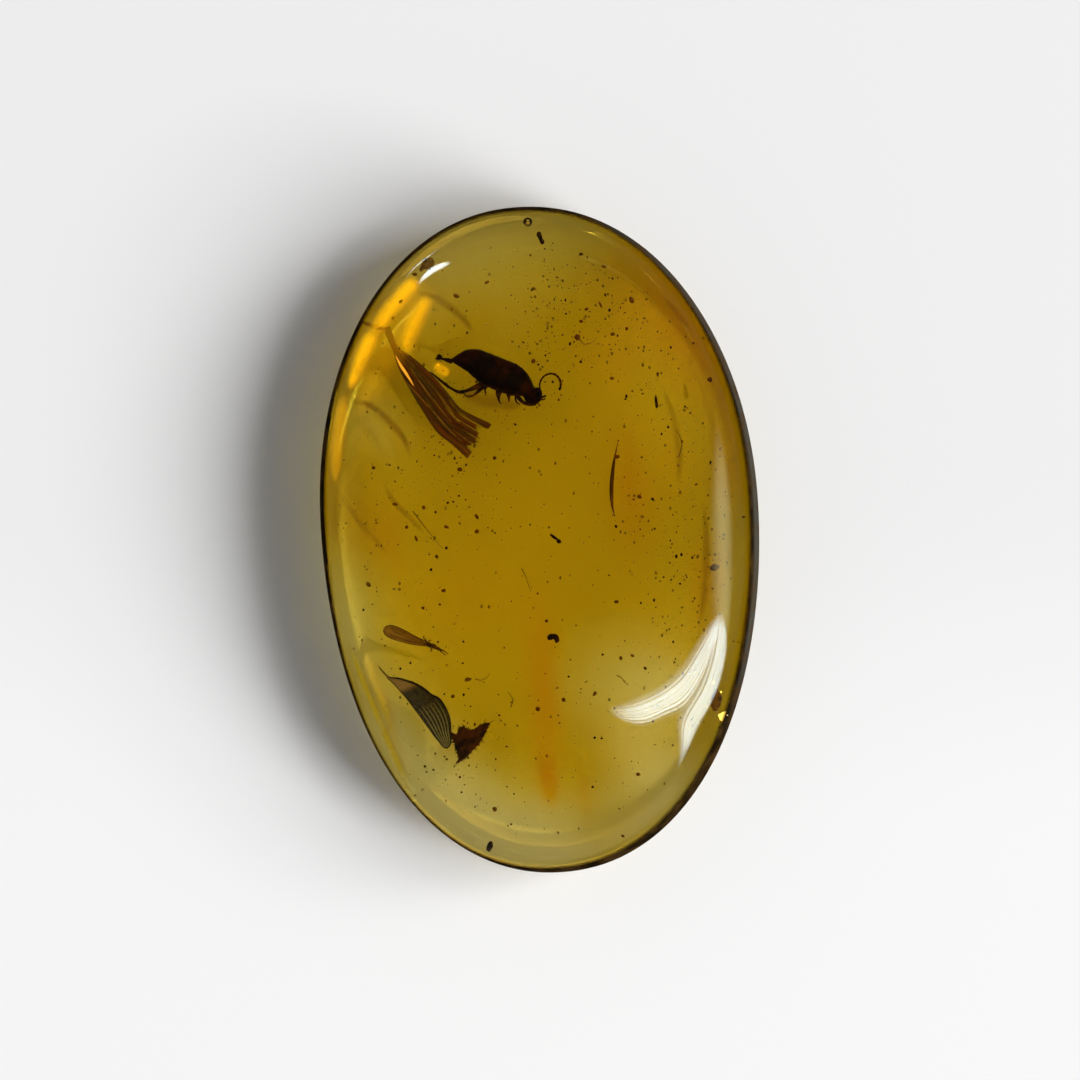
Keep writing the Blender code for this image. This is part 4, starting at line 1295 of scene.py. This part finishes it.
# The larger specks: place in X and Y, half sizes, and turn in degrees.
LARGE_SPECKS = (
    ((-2.70, 1.04), (0.075, 0.135), 30.0), ((-2.70, 0.39), (0.10, 0.095), 0.0),
    ((-7.28, -1.93), (0.13, 0.10), -40.0), ((-4.89, 1.45), (0.075, 0.10), 10.0),
    ((3.24, 3.64), (0.10, 0.085), 0.0), ((4.15, 1.90), (0.12, 0.085), -40.0),
    ((3.92, 1.78), (0.06, 0.05), 0.0), ((7.34, 7.10), (0.11, 0.12), 0.0),
    ((-3.65, -6.81), (0.085, 0.085), 0.0), ((-3.02, -6.07), (0.16, 0.085), 12.0),
    ((-1.93, -11.83), (0.10, 0.12), 0.0), ((3.20, -2.70), (0.10, 0.075), 0.0),
    ((0.28, -3.55), (0.08, 0.07), 0.0), ((3.38, -5.15), (0.07, 0.09), 0.0),
    ((3.86, -5.05), (0.09, 0.06), -30.0), ((4.40, -5.60), (0.08, 0.06), -40.0),
    ((4.20, -10.30), (0.10, 0.085), -30.0), ((3.60, -13.10), (0.085, 0.06), -30.0),
    ((-0.30, 7.80), (0.11, 0.09), 60.0), ((2.55, 10.30), (0.06, 0.15), 25.0),
    ((1.95, 10.10), (0.10, 0.07), 20.0), ((1.72, 9.55), (0.10, 0.08), 0.0),
    ((3.05, 9.00), (0.10, 0.08), 30.0), ((3.65, 9.25), (0.07, 0.09), -20.0),
    ((1.55, 8.85), (0.13, 0.14), 30.0), ((3.00, 7.05), (0.10, 0.08), -30.0),
    ((3.90, 10.55), (0.11, 0.16), 20.0), ((1.75, 12.60), (0.10, 0.08), 0.0),
    ((2.75, 12.05), (0.12, 0.07), -10.0), ((-0.28, 11.00), (0.10, 0.07), -30.0),
    ((-3.60, 10.70), (0.15, 0.085), -30.0), ((-2.30, 11.30), (0.11, 0.07), 20.0),
    ((-6.10, 1.60), (0.13, 0.07), -10.0), ((-7.05, 3.20), (0.09, 0.08), 0.0),
    ((-3.40, 3.10), (0.12, 0.09), -20.0), ((-1.95, 3.60), (0.085, 0.08), 0.0),
    ((-5.60, 0.60), (0.08, 0.08), 0.0), ((-5.20, 0.10), (0.06, 0.15), 22.0),
    ((-3.95, 0.60), (0.12, 0.07), -30.0), ((-4.05, -2.20), (0.10, 0.085), 0.0),
    ((-4.20, -2.80), (0.06, 0.06), 0.0), ((-4.90, -2.95), (0.07, 0.07), 0.0),
    ((-0.10, -7.35), (0.11, 0.11), 0.0), ((2.30, -6.70), (0.12, 0.07), 50.0),
    ((1.00, -6.95), (0.08, 0.10), 0.0), ((-0.10, -2.35), (0.05, 0.05), 0.0),
    ((-3.95, -9.60), (0.06, 0.06), 0.0), ((7.45, -1.21), (0.24, 0.15), 10.0),
    ((-5.45, 11.75), (0.11, 0.08), -20.0), ((-5.02, 12.40), (0.13, 0.07), 40.0),
    ((-6.05, 10.55), (0.11, 0.09), 20.0), ((-6.35, 9.80), (0.08, 0.08), 0.0),
)
SPECK_HEIGHT = 4.3
SMALL_SPECKS = 1750
SMALL_SPECKS_REACH = 0.86
SMALL_SPECKS_LOWEST = 1.2
SMALL_SPECKS_HIGHEST = 6.0
SMALL_SPECKS_FALL = 1.6
DARK_SHARE = 0.2
# Where specks crowd together: the middle, the spread, and the share of all specks.
SPECK_CROWDS = (
    ((2.2, 9.6), (3.4, 3.4), 0.11), ((0.4, 9.8), (1.6, 3.6), 0.05), ((4.8, 3.0), (3.0, 5.0), 0.07),
    ((-3.6, 3.6), (3.6, 4.4), 0.08), ((5.9, -1.4), (2.2, 5.0), 0.07), ((-3.0, -10.0), (3.4, 4.0), 0.06),
)
CURLS = (
    ((-2.72, -6.05, 4.3), (-2.45, -6.10, 4.35), (-2.20, -5.95, 4.3), (-2.12, -5.78, 4.3)),
    ((-0.80, -1.25, 4.3), (-0.62, -1.62, 4.35), (-0.46, -2.10, 4.3), (-0.40, -2.30, 4.3)),
    ((1.60, 8.80, 4.3), (1.85, 8.55, 4.35), (2.15, 8.62, 4.3), (2.40, 8.85, 4.3)),
    ((-5.35, 1.30, 4.3), (-4.95, 0.75, 4.3), (-4.50, 0.15, 4.3), (-4.10, -0.35, 4.3)),
    ((3.20, -5.90, 4.3), (3.40, -6.00, 4.3), (3.55, -6.20, 4.3), (3.70, -6.30, 4.3)),
    ((5.80, 3.60, 4.3), (5.95, 4.10, 4.3), (5.90, 4.50, 4.3), (5.70, 4.80, 4.3)),
    ((-1.25, -7.30, 4.3), (-1.15, -7.00, 4.3), (-1.22, -6.80, 4.3), (-1.35, -6.62, 4.3)),
)
CURL_RADIUS = 0.030
THIN_SPECK_DARK = (0.12, 0.05, 0.006)
THIN_SPECK_BROWN = (0.22, 0.10, 0.012)
THIN_SPECK_ALPHA = 0.42
LARGE_SPECK_DARK = (0.05, 0.022, 0.004)
LARGE_SPECK_BROWN = (0.20, 0.085, 0.01)
BLACK_SPECK, THIN_SPECK, LARGE_SPECK = range(3)


def inside_share(x, y):
    """How far out a point lies, as a share of the amber's reach in its direction."""
    return math.hypot(x, y) / outline_radius(math.atan2(y, x))


rng = random.Random(47)
shape = bmesh.new()
for (x, y), (half_x, half_y), turn in LARGE_SPECKS:
    half_sizes = (half_x, half_y, min(half_x, half_y))
    centre = (x, y, SPECK_HEIGHT)
    add_rough_ball(shape, rng, centre, half_sizes, 0.22, LARGE_SPECK, 2, math.radians(turn))
for route in CURLS:
    curve = curve_through(route, 5)
    add_tube(shape, curve, lambda share: CURL_RADIUS * (1.05 - 0.6 * share), 5, THIN_SPECK)
placed_specks = 0
while placed_specks < SMALL_SPECKS:
    pick = rng.random()
    x = rng.uniform(-HALF_WIDTH, HALF_WIDTH)
    y = rng.uniform(-HALF_LENGTH, HALF_LENGTH)
    for (middle_x, middle_y), (half_x, half_y), chance in SPECK_CROWDS:
        if pick < chance:
            x = rng.gauss(middle_x, half_x / 2.0)
            y = rng.gauss(middle_y, half_y / 2.0)
            break
        pick -= chance
    outward = inside_share(x, y)
    if outward > SMALL_SPECKS_REACH:
        continue
    z = rng.uniform(SMALL_SPECKS_LOWEST, SMALL_SPECKS_HIGHEST - SMALL_SPECKS_FALL * outward)
    radius = 0.020 + 0.048 * rng.random() ** 2.6
    half_sizes = (radius, radius * rng.uniform(0.7, 1.7), radius)
    finish = BLACK_SPECK if rng.random() < DARK_SHARE else THIN_SPECK
    add_rough_ball(shape, rng, (x, y, z), half_sizes, 0.25, finish, 1)
    placed_specks += 1
thin_speck = mottled_finish("brown_speck", THIN_SPECK_DARK, THIN_SPECK_BROWN, 900.0, 0.5, 0.7, 0.3)
thin_speck.node_tree.nodes["Principled BSDF"].inputs["Alpha"].default_value = THIN_SPECK_ALPHA
large_speck = mottled_finish("dark_speck", LARGE_SPECK_DARK, LARGE_SPECK_BROWN, 1800.0, 0.5, 0.7, 0.6)
specks = add_piece("specks", shape, [crumb_finish, thin_speck, large_speck])
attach(specks, "root")

# --- Flow films ----------------------------------------------------------------------------------
# Thin films inside the resin. Some are brown lines and some are pale and cloudy, where one flow
# dried before the next ran over it. The golden films along the upper left edge and by the beetle's
# tail, and the deep yellow streak by the lower left edge, are painted light: they glow with their
# own light, standing in for light gathered inside the resin. Each is a sheet that fades at its edges.

FILM_HEIGHT = 4.4
# The golden films glow with painted light.
# Each film: points along its middle, its half width at each, and how strong it is.
GLOW_FILMS = (
    (((-5.25, 11.65), (-5.60, 11.28), (-6.12, 10.68), (-6.60, 10.10), (-6.98, 9.50), (-7.22, 8.95)),
     (0.30, 0.56, 0.60, 0.58, 0.52, 0.34), 0.95),
    (((-7.10, 9.45), (-7.38, 8.90), (-7.68, 8.25), (-7.90, 7.65), (-8.12, 7.10), (-8.30, 6.55)),
     (0.30, 0.56, 0.56, 0.50, 0.36, 0.22), 0.95),
    (((-4.66, 10.85), (-5.00, 10.35), (-5.30, 9.80), (-5.52, 9.20), (-5.66, 8.60), (-5.60, 8.05)),
     (0.30, 0.48, 0.56, 0.56, 0.48, 0.26), 0.80),
    (((-4.60, 11.60), (-5.60, 10.30), (-6.50, 8.80), (-7.30, 7.20), (-7.90, 5.40)),
     (0.70, 1.30, 1.60, 1.30, 0.70), 0.22),
    (((-8.45, 6.75), (-8.62, 5.60), (-8.78, 4.60), (-8.85, 3.40), (-8.85, 2.40)),
     (0.30, 0.55, 0.55, 0.42, 0.20), 0.42),
    (((-4.55, 7.72), (-4.20, 7.45), (-3.80, 7.20)), (0.20, 0.36, 0.20), 0.55),
    (((-4.40, 7.72), (-4.33, 7.66), (-4.27, 7.60)), (0.06, 0.10, 0.06), 1.0),
)
BROWN_FILMS = (
    (((-7.85, 9.70), (-7.35, 9.52), (-6.90, 9.36), (-6.45, 9.30)), (0.08, 0.14, 0.14, 0.06), 0.9),
    (((-8.20, 6.15), (-7.45, 6.00), (-6.80, 5.60), (-6.20, 5.00), (-5.70, 4.30), (-5.40, 3.40)),
     (0.10, 0.22, 0.26, 0.26, 0.20, 0.08), 0.62),
    (((-5.45, 11.00), (-4.60, 10.70), (-3.80, 10.15), (-3.15, 9.50), (-2.75, 8.85)),
     (0.10, 0.20, 0.26, 0.20, 0.08), 0.55),
    (((-8.60, 2.10), (-8.00, 1.20), (-7.20, 0.20), (-6.30, -0.70)), (0.08, 0.20, 0.22, 0.08), 0.35),
    (((-6.70, 2.60), (-6.15, 1.70), (-5.50, 1.00), (-4.80, 0.25)), (0.08, 0.18, 0.18, 0.08), 0.40),
    (((-3.60, 6.55), (-2.60, 6.15), (-1.60, 5.95), (-0.60, 5.80)), (0.20, 0.42, 0.46, 0.20), 0.42),
    (((5.30, 10.90), (5.95, 10.10), (6.50, 9.30)), (0.08, 0.20, 0.08), 0.40),
    (((5.10, 6.90), (5.60, 5.40), (5.85, 3.80), (5.80, 2.20)), (0.10, 0.20, 0.24, 0.10), 0.35),
    (((6.95, 1.80), (7.05, 0.00), (7.00, -2.20), (6.70, -4.20)), (0.10, 0.22, 0.24, 0.10), 0.42),
)
# The deep yellow streak, which glows with painted light.
YELLOW_GLOW_FILMS = (
    (((-8.36, -4.40), (-7.90, -5.60), (-7.32, -7.10), (-6.70, -8.60), (-6.10, -10.00), (-5.46, -11.30)),
     (0.06, 0.20, 0.28, 0.32, 0.30, 0.12), 0.85),
)
PALE_FILMS = (
    (((1.20, 12.60), (2.60, 12.20), (4.00, 11.35), (5.10, 10.30)), (0.06, 0.16, 0.12, 0.05), 0.20),
    (((4.30, 12.10), (4.80, 11.60), (5.20, 11.15)), (0.03, 0.07, 0.03), 0.40),
    (((6.00, 9.90), (6.35, 9.35), (6.65, 8.80)), (0.03, 0.07, 0.03), 0.40),
    (((-7.80, 5.70), (-7.10, 4.95), (-6.55, 4.00), (-6.25, 3.00)), (0.30, 0.62, 0.66, 0.30), 0.22),
)
FILM_COLUMNS = 10
FILM_SIDE_FADE = (0.46, 0.46)
FILM_END_FADE = (0.22, 0.22)
FILM_TILT = 0.5
FILM_GRAIN = 1100.0
FILM_PATCH_GREY = (0.78, 0.78, 0.78)
GLOW_PATCH_GREY = (0.55, 0.55, 0.55)
PAINTED_GLOW_FILM = (0.45, 0.20, 0.01)
BROWN_FILM = (0.30, 0.11, 0.004)
YELLOW_GLOW_FILM = (0.04, 0.024, 0.0)
PALE_FILM = (0.85, 0.72, 0.42)
# Tones and strength of the painted light that the golden and yellow films give off.
GLOW_GOLD = (1.0, 0.63, 0.01)
GLOW_AMBER = (0.90, 0.40, 0.003)
GLOW_YELLOW = (0.31, 0.225, 0.0)
GLOW_OLIVE = (0.28, 0.20, 0.0)
GLOW_POWER = 1.08


def add_soft_sheet(shape, left, right, fades, ends, strength=1.0, columns=FILM_COLUMNS):
    """A sheet between two edges, with a mask that fades in from its sides and its two ends."""
    film = shape.verts.layers.float["film"]
    across_layer = shape.verts.layers.float["across"]
    last = len(left) - 1
    rows = []
    for row, (left_point, right_point) in enumerate(zip(left, right)):
        along = row / last
        lengthwise = smooth_step(along / ends[0]) * smooth_step((1.0 - along) / ends[1])
        verts = []
        for column in range(columns + 1):
            share = column / columns
            vert = shape.verts.new(left_point.lerp(right_point, share))
            sides = smooth_step(share / fades[0]) * smooth_step((1.0 - share) / fades[1])
            vert[film] = strength * sides * lengthwise
            vert[across_layer] = share
            verts.append(vert)
        rows.append(verts)
    for low, high in zip(rows, rows[1:]):
        for column in range(columns):
            shape.faces.new((low[column], low[column + 1], high[column + 1], high[column]))


def new_film_shape():
    """An empty mesh whose points carry a film's mask and their share across it."""
    shape = bmesh.new()
    shape.verts.layers.float.new("film")
    shape.verts.layers.float.new("across")
    return shape


def film_shape(films):
    """One mesh of all the films of a kind, each along its middle line and tilted over it."""
    shape = new_film_shape()
    for points, half_widths, strength in films:
        route = curve_through([(x, y, half) for (x, y), half in zip(points, half_widths)], 8)
        left, right = [], []
        for place, point in enumerate(route):
            ahead = route[min(place + 1, len(route) - 1)] - route[max(place - 1, 0)]
            side = Vector((-ahead.y, ahead.x, 0.0)).normalized() * point.z
            middle = Vector((point.x, point.y, FILM_HEIGHT))
            tilt = Vector((0.0, 0.0, FILM_TILT * point.z))
            left.append(middle + side - tilt)
            right.append(middle - side + tilt)
        add_soft_sheet(shape, left, right, FILM_SIDE_FADE, FILM_END_FADE, strength)
    return shape


def film_finish(name, colour, glow=None):
    """A film that is there only as much as its mask says. Glow, when given, holds the dim and bright
    tones of the painted light that it gives off.
    """
    finish, nodes, links, shader = new_finish(name)
    fill(links, shader.inputs["Base Color"], colour)
    set_gloss(shader, 0.6, 0.0)
    grey = GLOW_PATCH_GREY if glow else FILM_PATCH_GREY
    patches = add_mottle(nodes, links, own_place(nodes), FILM_GRAIN, 0.5, dark=grey)
    alpha = sum_of(nodes, links, "MULTIPLY", carried(nodes, "film"), patches["Colour"])
    links.new(alpha, shader.inputs["Alpha"])
    if glow:
        shade = sum_of(nodes, links, "MULTIPLY", carried(nodes, "across"), patches["Colour"])
        set_glow(finish, mixed(nodes, links, shade, *glow), GLOW_POWER)
    return finish


for name, films, colour, glow in (
    ("painted_glow_films", GLOW_FILMS, PAINTED_GLOW_FILM, (GLOW_AMBER, GLOW_GOLD)),
    ("brown_films", BROWN_FILMS, BROWN_FILM, None),
    ("painted_yellow_glow_films", YELLOW_GLOW_FILMS, YELLOW_GLOW_FILM, (GLOW_OLIVE, GLOW_YELLOW)),
    ("pale_films", PALE_FILMS, PALE_FILM, None),
):
    flow = add_piece(name, film_shape(films), [film_finish(name + "_resin", colour, glow)])
    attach(flow, "root")

# --- Bubble and painted glint --------------------------------------------------------------------
# A bubble of air by the upper rim, and a painted glint by the crumb on the right: gold grains that
# glow with their own light.

BUBBLE_AT = (-0.55, 14.05, 4.3)
BUBBLE_RADIUS = 0.20
BUBBLE_TINT = (0.95, 0.9, 0.7)
# Each grain of the painted glint: centre and half sizes.
GLINT_GRAINS = (
    ((8.08, -7.86, 4.4), (0.34, 0.22, 0.06)), ((7.50, -6.30, 4.3), (0.05, 0.07, 0.03)),
    ((7.85, -6.75, 4.3), (0.03, 0.05, 0.02)), ((7.20, -7.40, 4.3), (0.03, 0.04, 0.02)),
)
# Colour of the painted glint and of the light it gives off.
GLINT_BASE = (1.0, 0.62, 0.12)
GLINT_GOLD = (1.0, 0.80, 0.30)
GLINT_POWER = 2.2

shape = bmesh.new()
add_ball(shape, BUBBLE_AT, (BUBBLE_RADIUS,) * 3, detail=4)
bubble_finish, nodes, links, shader = new_finish("air_bubble")
set_glass(shader, 1.0 / AMBER_IOR)
fill(links, shader.inputs["Base Color"], BUBBLE_TINT)
bubble = add_piece("air_bubble", shape, [bubble_finish])
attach(bubble, "root")

rng = random.Random(59)
shape = bmesh.new()
for centre, half_sizes in GLINT_GRAINS:
    add_rough_ball(shape, rng, centre, half_sizes, 0.25, 0, 3)
glint_finish, nodes, links, shader = new_finish("painted_gold_glint")
fill(links, shader.inputs["Base Color"], GLINT_BASE)
shader.inputs["Roughness"].default_value = 0.3
# The painted glint glows with its own light.
set_glow(glint_finish, GLINT_GOLD, GLINT_POWER)
painted_glints = add_piece("painted_glints", shape, [glint_finish])
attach(painted_glints, "root")

# --- Floor, lights and camera --------------------------------------------------------------------
# A pale table, painted lighter towards -Y as painted light, and two soft strip lights from the right.
# Cards of light, each seen only by the rays it is meant for, give the polish its highlights and light
# the resin from inside, and a black card over the table keeps the table out of the polished rim.

FLOOR_DROP = 0.05
FLOOR_SIZE = 6000.0
# The table's tone, painted lighter towards -Y as painted light, and where it changes.
FLOOR_FAR_GREY = (0.86, 0.86, 0.86)
FLOOR_NEAR_GREY = (0.925, 0.925, 0.925)
FLOOR_CHANGE = (4.0, -14.0)
ROOM_GREY = (0.23, 0.23, 0.23)
BACKDROP_GREY = (0.82, 0.82, 0.82)
# How bright the mirrored room is at the table's height, and how dark higher up.
SKY_RISE = (0.0, 0.5)
SKY_GREYS = (0.12, 0.02)
CARD_DISTANCE = 2000.0
LIGHT_DISTANCE = 2400.0
CAMERA_LENS = 180.0
CAMERA_SENSOR = 36.0
PICTURE_PIXELS = 1080
PIXEL_SIZE = 0.04525

shape = bmesh.new()
bmesh.ops.create_grid(shape, x_segments=1, y_segments=1, size=FLOOR_SIZE)
floor_finish, nodes, links, shader = new_finish("pale_floor")
# Painted light: the table grows lighter towards -Y.
parts = nodes.new("ShaderNodeSeparateXYZ")
links.new(own_place(nodes), parts.inputs[0])
change = [edge * MM for edge in FLOOR_CHANGE]
painted_floor_light = ranged(nodes, links, parts.outputs["Y"], change, kind="SMOOTHSTEP")
floor_tone = mixed(nodes, links, painted_floor_light, FLOOR_FAR_GREY, FLOOR_NEAR_GREY)
links.new(floor_tone, shader.inputs["Base Color"])
set_gloss(shader, 0.9, 0.0)
floor = add_piece("floor", shape, [floor_finish], (0.0, 0.0, -FLOOR_DROP))


def towards(zenith, azimuth):
    """The unit vector at an angle from straight up, and at an angle round from +X, in degrees."""
    fall = math.radians(zenith)
    turn = math.radians(azimuth)
    reach = math.sin(fall)
    return Vector((reach * math.cos(turn), reach * math.sin(turn), math.cos(fall)))


def strip_light(name, start, end, width, radiance):
    """A strip light between two directions, facing the amber, that lights only what is dull."""
    start = towards(*start) * LIGHT_DISTANCE * MM
    end = towards(*end) * LIGHT_DISTANCE * MM
    lamp = bpy.data.lights.new(name, "AREA")
    lamp.shape = "RECTANGLE"
    lamp.size = (end - start).length
    lamp.size_y = width * LIGHT_DISTANCE * MM
    lamp.energy = radiance * math.pi * lamp.size * lamp.size_y
    along = (end - start).normalized()
    side = (start + end).cross(along).normalized()
    facing = along.cross(side)
    light = bpy.data.objects.new(name, lamp)
    turned = Matrix((along, side, facing)).transposed().to_4x4()
    light.matrix_world = Matrix.Translation((start + end) / 2.0) @ turned
    light.visible_glossy = False
    light.visible_transmission = False
    bpy.context.scene.collection.objects.link(light)


# Cards of light, as the directions of their two edges, row by row from end to end.
HIGHLIGHT_LEFT = (
    ((31.4, -49.2), (32.2, -49.8)), ((33.6, -43.4), (37.0, -46.0)), ((39.6, -33.8), (45.0, -39.0)),
    ((47.0, -25.8), (51.8, -31.6)), ((53.4, -19.2), (58.6, -26.0)), ((58.6, -13.8), (62.8, -20.4)),
    ((63.4, -10.2), (66.6, -13.6)), ((67.4, -8.2), (68.2, -9.4)),
)
HIGHLIGHT_RIGHT = (
    ((66.6, -8.4), (69.4, -8.4)), ((64.8, -11.6), (73.4, -10.8)), ((62.4, -15.8), (76.4, -13.4)),
    ((59.4, -21.2), (76.0, -17.0)), ((56.6, -26.4), (72.4, -20.4)), ((56.6, -29.4), (68.2, -24.4)),
    ((59.4, -32.0), (66.4, -28.8)), ((62.4, -35.0), (66.0, -32.8)), ((64.6, -37.6), (65.4, -37.0)),
)
PALE_BAND = (
    ((67.5, 17.0), (70.6, 16.5)), ((65.2, 13.0), (71.6, 12.6)), ((63.0, 7.6), (72.6, 7.2)),
    ((61.6, 2.2), (73.4, 1.9)), ((61.6, -2.6), (73.8, -2.1)), ((62.6, -7.6), (74.6, -6.8)),
    ((64.6, -11.2), (75.6, -10.9)),
)
UPPER_STREAK = (
    ((54.0, 118.5), (54.6, 118.5)), ((54.6, 122.0), (57.2, 122.6)), ((56.2, 127.0), (59.4, 127.8)),
    ((58.0, 132.4), (58.8, 132.6)),
)
RIM_STREAK = (
    ((67.0, 120.5), (67.6, 120.5)), ((67.6, 125.0), (70.0, 125.4)), ((69.0, 130.0), (72.4, 130.4)),
    ((71.0, 135.0), (72.0, 135.2)),
)
STREAK_LINES = 18.0
STREAK_LINE_DETAIL = 1.5
STREAK_LINE_RANGE = (0.38, 0.6)


def card(name, edges, radiance, fades=(0.3, 0.3), ends=(0.15, 0.15), streaks=0.0,
         seen_by=("glossy",), columns=12, tone=(1.0, 1.0, 1.0)):
    """A soft-edged lamp between two lines of directions, seen only by some kinds of rays."""
    shape = new_film_shape()
    sides = []
    for side in (0, 1):
        angles = curve_through([row[side] for row in edges], 3)
        sides.append([towards(angle.x, angle.y) * CARD_DISTANCE for angle in angles])
    add_soft_sheet(shape, *sides, fades, ends, columns=columns)
    finish = bpy.data.materials.new(name)
    finish.use_nodes = True
    nodes = finish.node_tree.nodes
    links = finish.node_tree.links
    nodes.remove(nodes["Principled BSDF"])
    glow = nodes.new("ShaderNodeEmission")
    glow.inputs["Color"].default_value = (*tone, 1.0)
    lines = nodes.new("ShaderNodeTexNoise")
    lines.noise_dimensions = "1D"
    lines.inputs["Scale"].default_value = STREAK_LINES
    lines.inputs["Detail"].default_value = STREAK_LINE_DETAIL
    links.new(carried(nodes, "across"), lines.inputs["W"])
    least = radiance * (1.0 - streaks)
    depth = ranged(nodes, links, lines.outputs["Fac"], STREAK_LINE_RANGE, (least, radiance))
    power = sum_of(nodes, links, "MULTIPLY", carried(nodes, "film"), depth, clamp=False)
    links.new(power, glow.inputs["Strength"])
    clear = nodes.new("ShaderNodeBsdfTransparent")
    both = nodes.new("ShaderNodeAddShader")
    links.new(glow.outputs[0], both.inputs[0])
    links.new(clear.outputs[0], both.inputs[1])
    links.new(both.outputs[0], nodes["Material Output"].inputs["Surface"])
    finish.cycles.emission_sampling = "NONE"
    panel = add_piece(name, shape, [finish])
    panel.visible_camera = False
    panel.visible_shadow = False
    panel.visible_glossy = "glossy" in seen_by
    panel.visible_diffuse = False
    panel.visible_transmission = "transmission" in seen_by


def dark_disc(name, radius, height):
    """A black disc just over the table that only the mirrored rays can reach."""
    shape = bmesh.new()
    bmesh.ops.create_circle(shape, cap_ends=True, segments=96, radius=radius)
    finish, nodes, links, shader = new_finish(name)
    fill(links, shader.inputs["Base Color"], (0.0, 0.0, 0.0))
    shader.inputs["Specular IOR Level"].default_value = 0.0
    disc = add_piece(name, shape, [finish], (0.0, 0.0, height))
    disc.visible_camera = False
    disc.visible_shadow = False
    disc.visible_diffuse = False
    disc.visible_transmission = False


def inner_light(name, first, last, near, far, radiance):
    """A soft card, between two azimuths and two zenith angles, for the rays inside the amber."""
    edges = [((near, turn), (far, turn)) for turn in arc(first, last, 6)]
    card(name, edges, radiance, (0.4, 0.4), (0.35, 0.35), 0.0, ("transmission",), 8)


BOTH = ("glossy", "transmission")
BAND_LIGHT = (0.94, 0.96, 0.56)
COOL_LIGHT = (0.78, 0.94, 1.0)
strip_light("key_strip", (31, -8), (69, -31), 0.30, 10.9)
strip_light("second_strip", (32, 11), (68, 13), 0.30, 7.3)
card("highlight_left", HIGHLIGHT_LEFT, 20.0, (0.45, 0.3), (0.35, 0.1), 0.7, BOTH, 12, COOL_LIGHT)
card("highlight_right", HIGHLIGHT_RIGHT, 20.0, (0.45, 0.3), (0.1, 0.35), 0.7, BOTH, 12, COOL_LIGHT)
inner_light("inner_key", -10, 34, 28, 56, 4.8)
inner_light("inner_far_low", 54, 106, 44, 84, 5.2)
inner_light("inner_left_high", 112, 188, 6, 52, 4.4)
inner_light("inner_near_left_high", 172, 248, 6, 52, 3.2)
inner_light("inner_near_low", 254, 306, 44, 84, 1.3)
inner_light("inner_near_right_high", 292, 368, 6, 52, 2.9)
inner_light("inner_right_high", -8, 68, 6, 52, 2.2)
inner_light("inner_far_high", 52, 128, 6, 52, 0.4)
dark_disc("dark_table_card", 300.0, -0.5 * FLOOR_DROP)
card("pale_band", PALE_BAND, 3.5, (0.5, 0.45), (0.45, 0.1), 0.0, ("glossy",), 12, BAND_LIGHT)
card("upper_streak", UPPER_STREAK, 20.0, (0.3, 0.3), (0.3, 0.2), 0.0, ("glossy",), 12, COOL_LIGHT)
card("rim_streak", RIM_STREAK, 12.0, (0.3, 0.3), (0.4, 0.2), 0.0, ("glossy",), 12, COOL_LIGHT)

world = bpy.data.worlds.new("studio")
bpy.context.scene.world = world
world.use_nodes = True
nodes = world.node_tree.nodes
links = world.node_tree.links
coordinates = nodes.new("ShaderNodeTexCoord")
parts = nodes.new("ShaderNodeSeparateXYZ")
links.new(coordinates.outputs["Generated"], parts.inputs[0])
sky = ranged(nodes, links, parts.outputs["Z"], SKY_RISE, SKY_GREYS)
path = nodes.new("ShaderNodeLightPath")
mirrored = mixed(nodes, links, path.outputs["Is Glossy Ray"], ROOM_GREY, sky)
links.new(mirrored, nodes["Background"].inputs["Color"])
backdrop = nodes.new("ShaderNodeBackground")
fill(links, backdrop.inputs["Color"], BACKDROP_GREY)
seen = nodes.new("ShaderNodeMixShader")
links.new(path.outputs["Is Camera Ray"], seen.inputs[0])
links.new(nodes["Background"].outputs[0], seen.inputs[1])
links.new(backdrop.outputs[0], seen.inputs[2])
links.new(seen.outputs[0], nodes["World Output"].inputs["Surface"])

lens = bpy.data.cameras.new("camera")
lens.lens = CAMERA_LENS
lens.sensor_width = CAMERA_SENSOR
lens.clip_start = 0.01
lens.clip_end = 50.0
camera = bpy.data.objects.new("camera", lens)
camera_distance = CAMERA_LENS / CAMERA_SENSOR * PICTURE_PIXELS * PIXEL_SIZE
camera.location = (0.0, 0.0, (GIRDLE_HEIGHT + camera_distance) * MM)
bpy.context.scene.collection.objects.link(camera)
bpy.context.scene.camera = camera
bpy.context.scene.view_settings.view_transform = "Standard"
bpy.context.scene.cycles.sample_clamp_indirect = 0.0
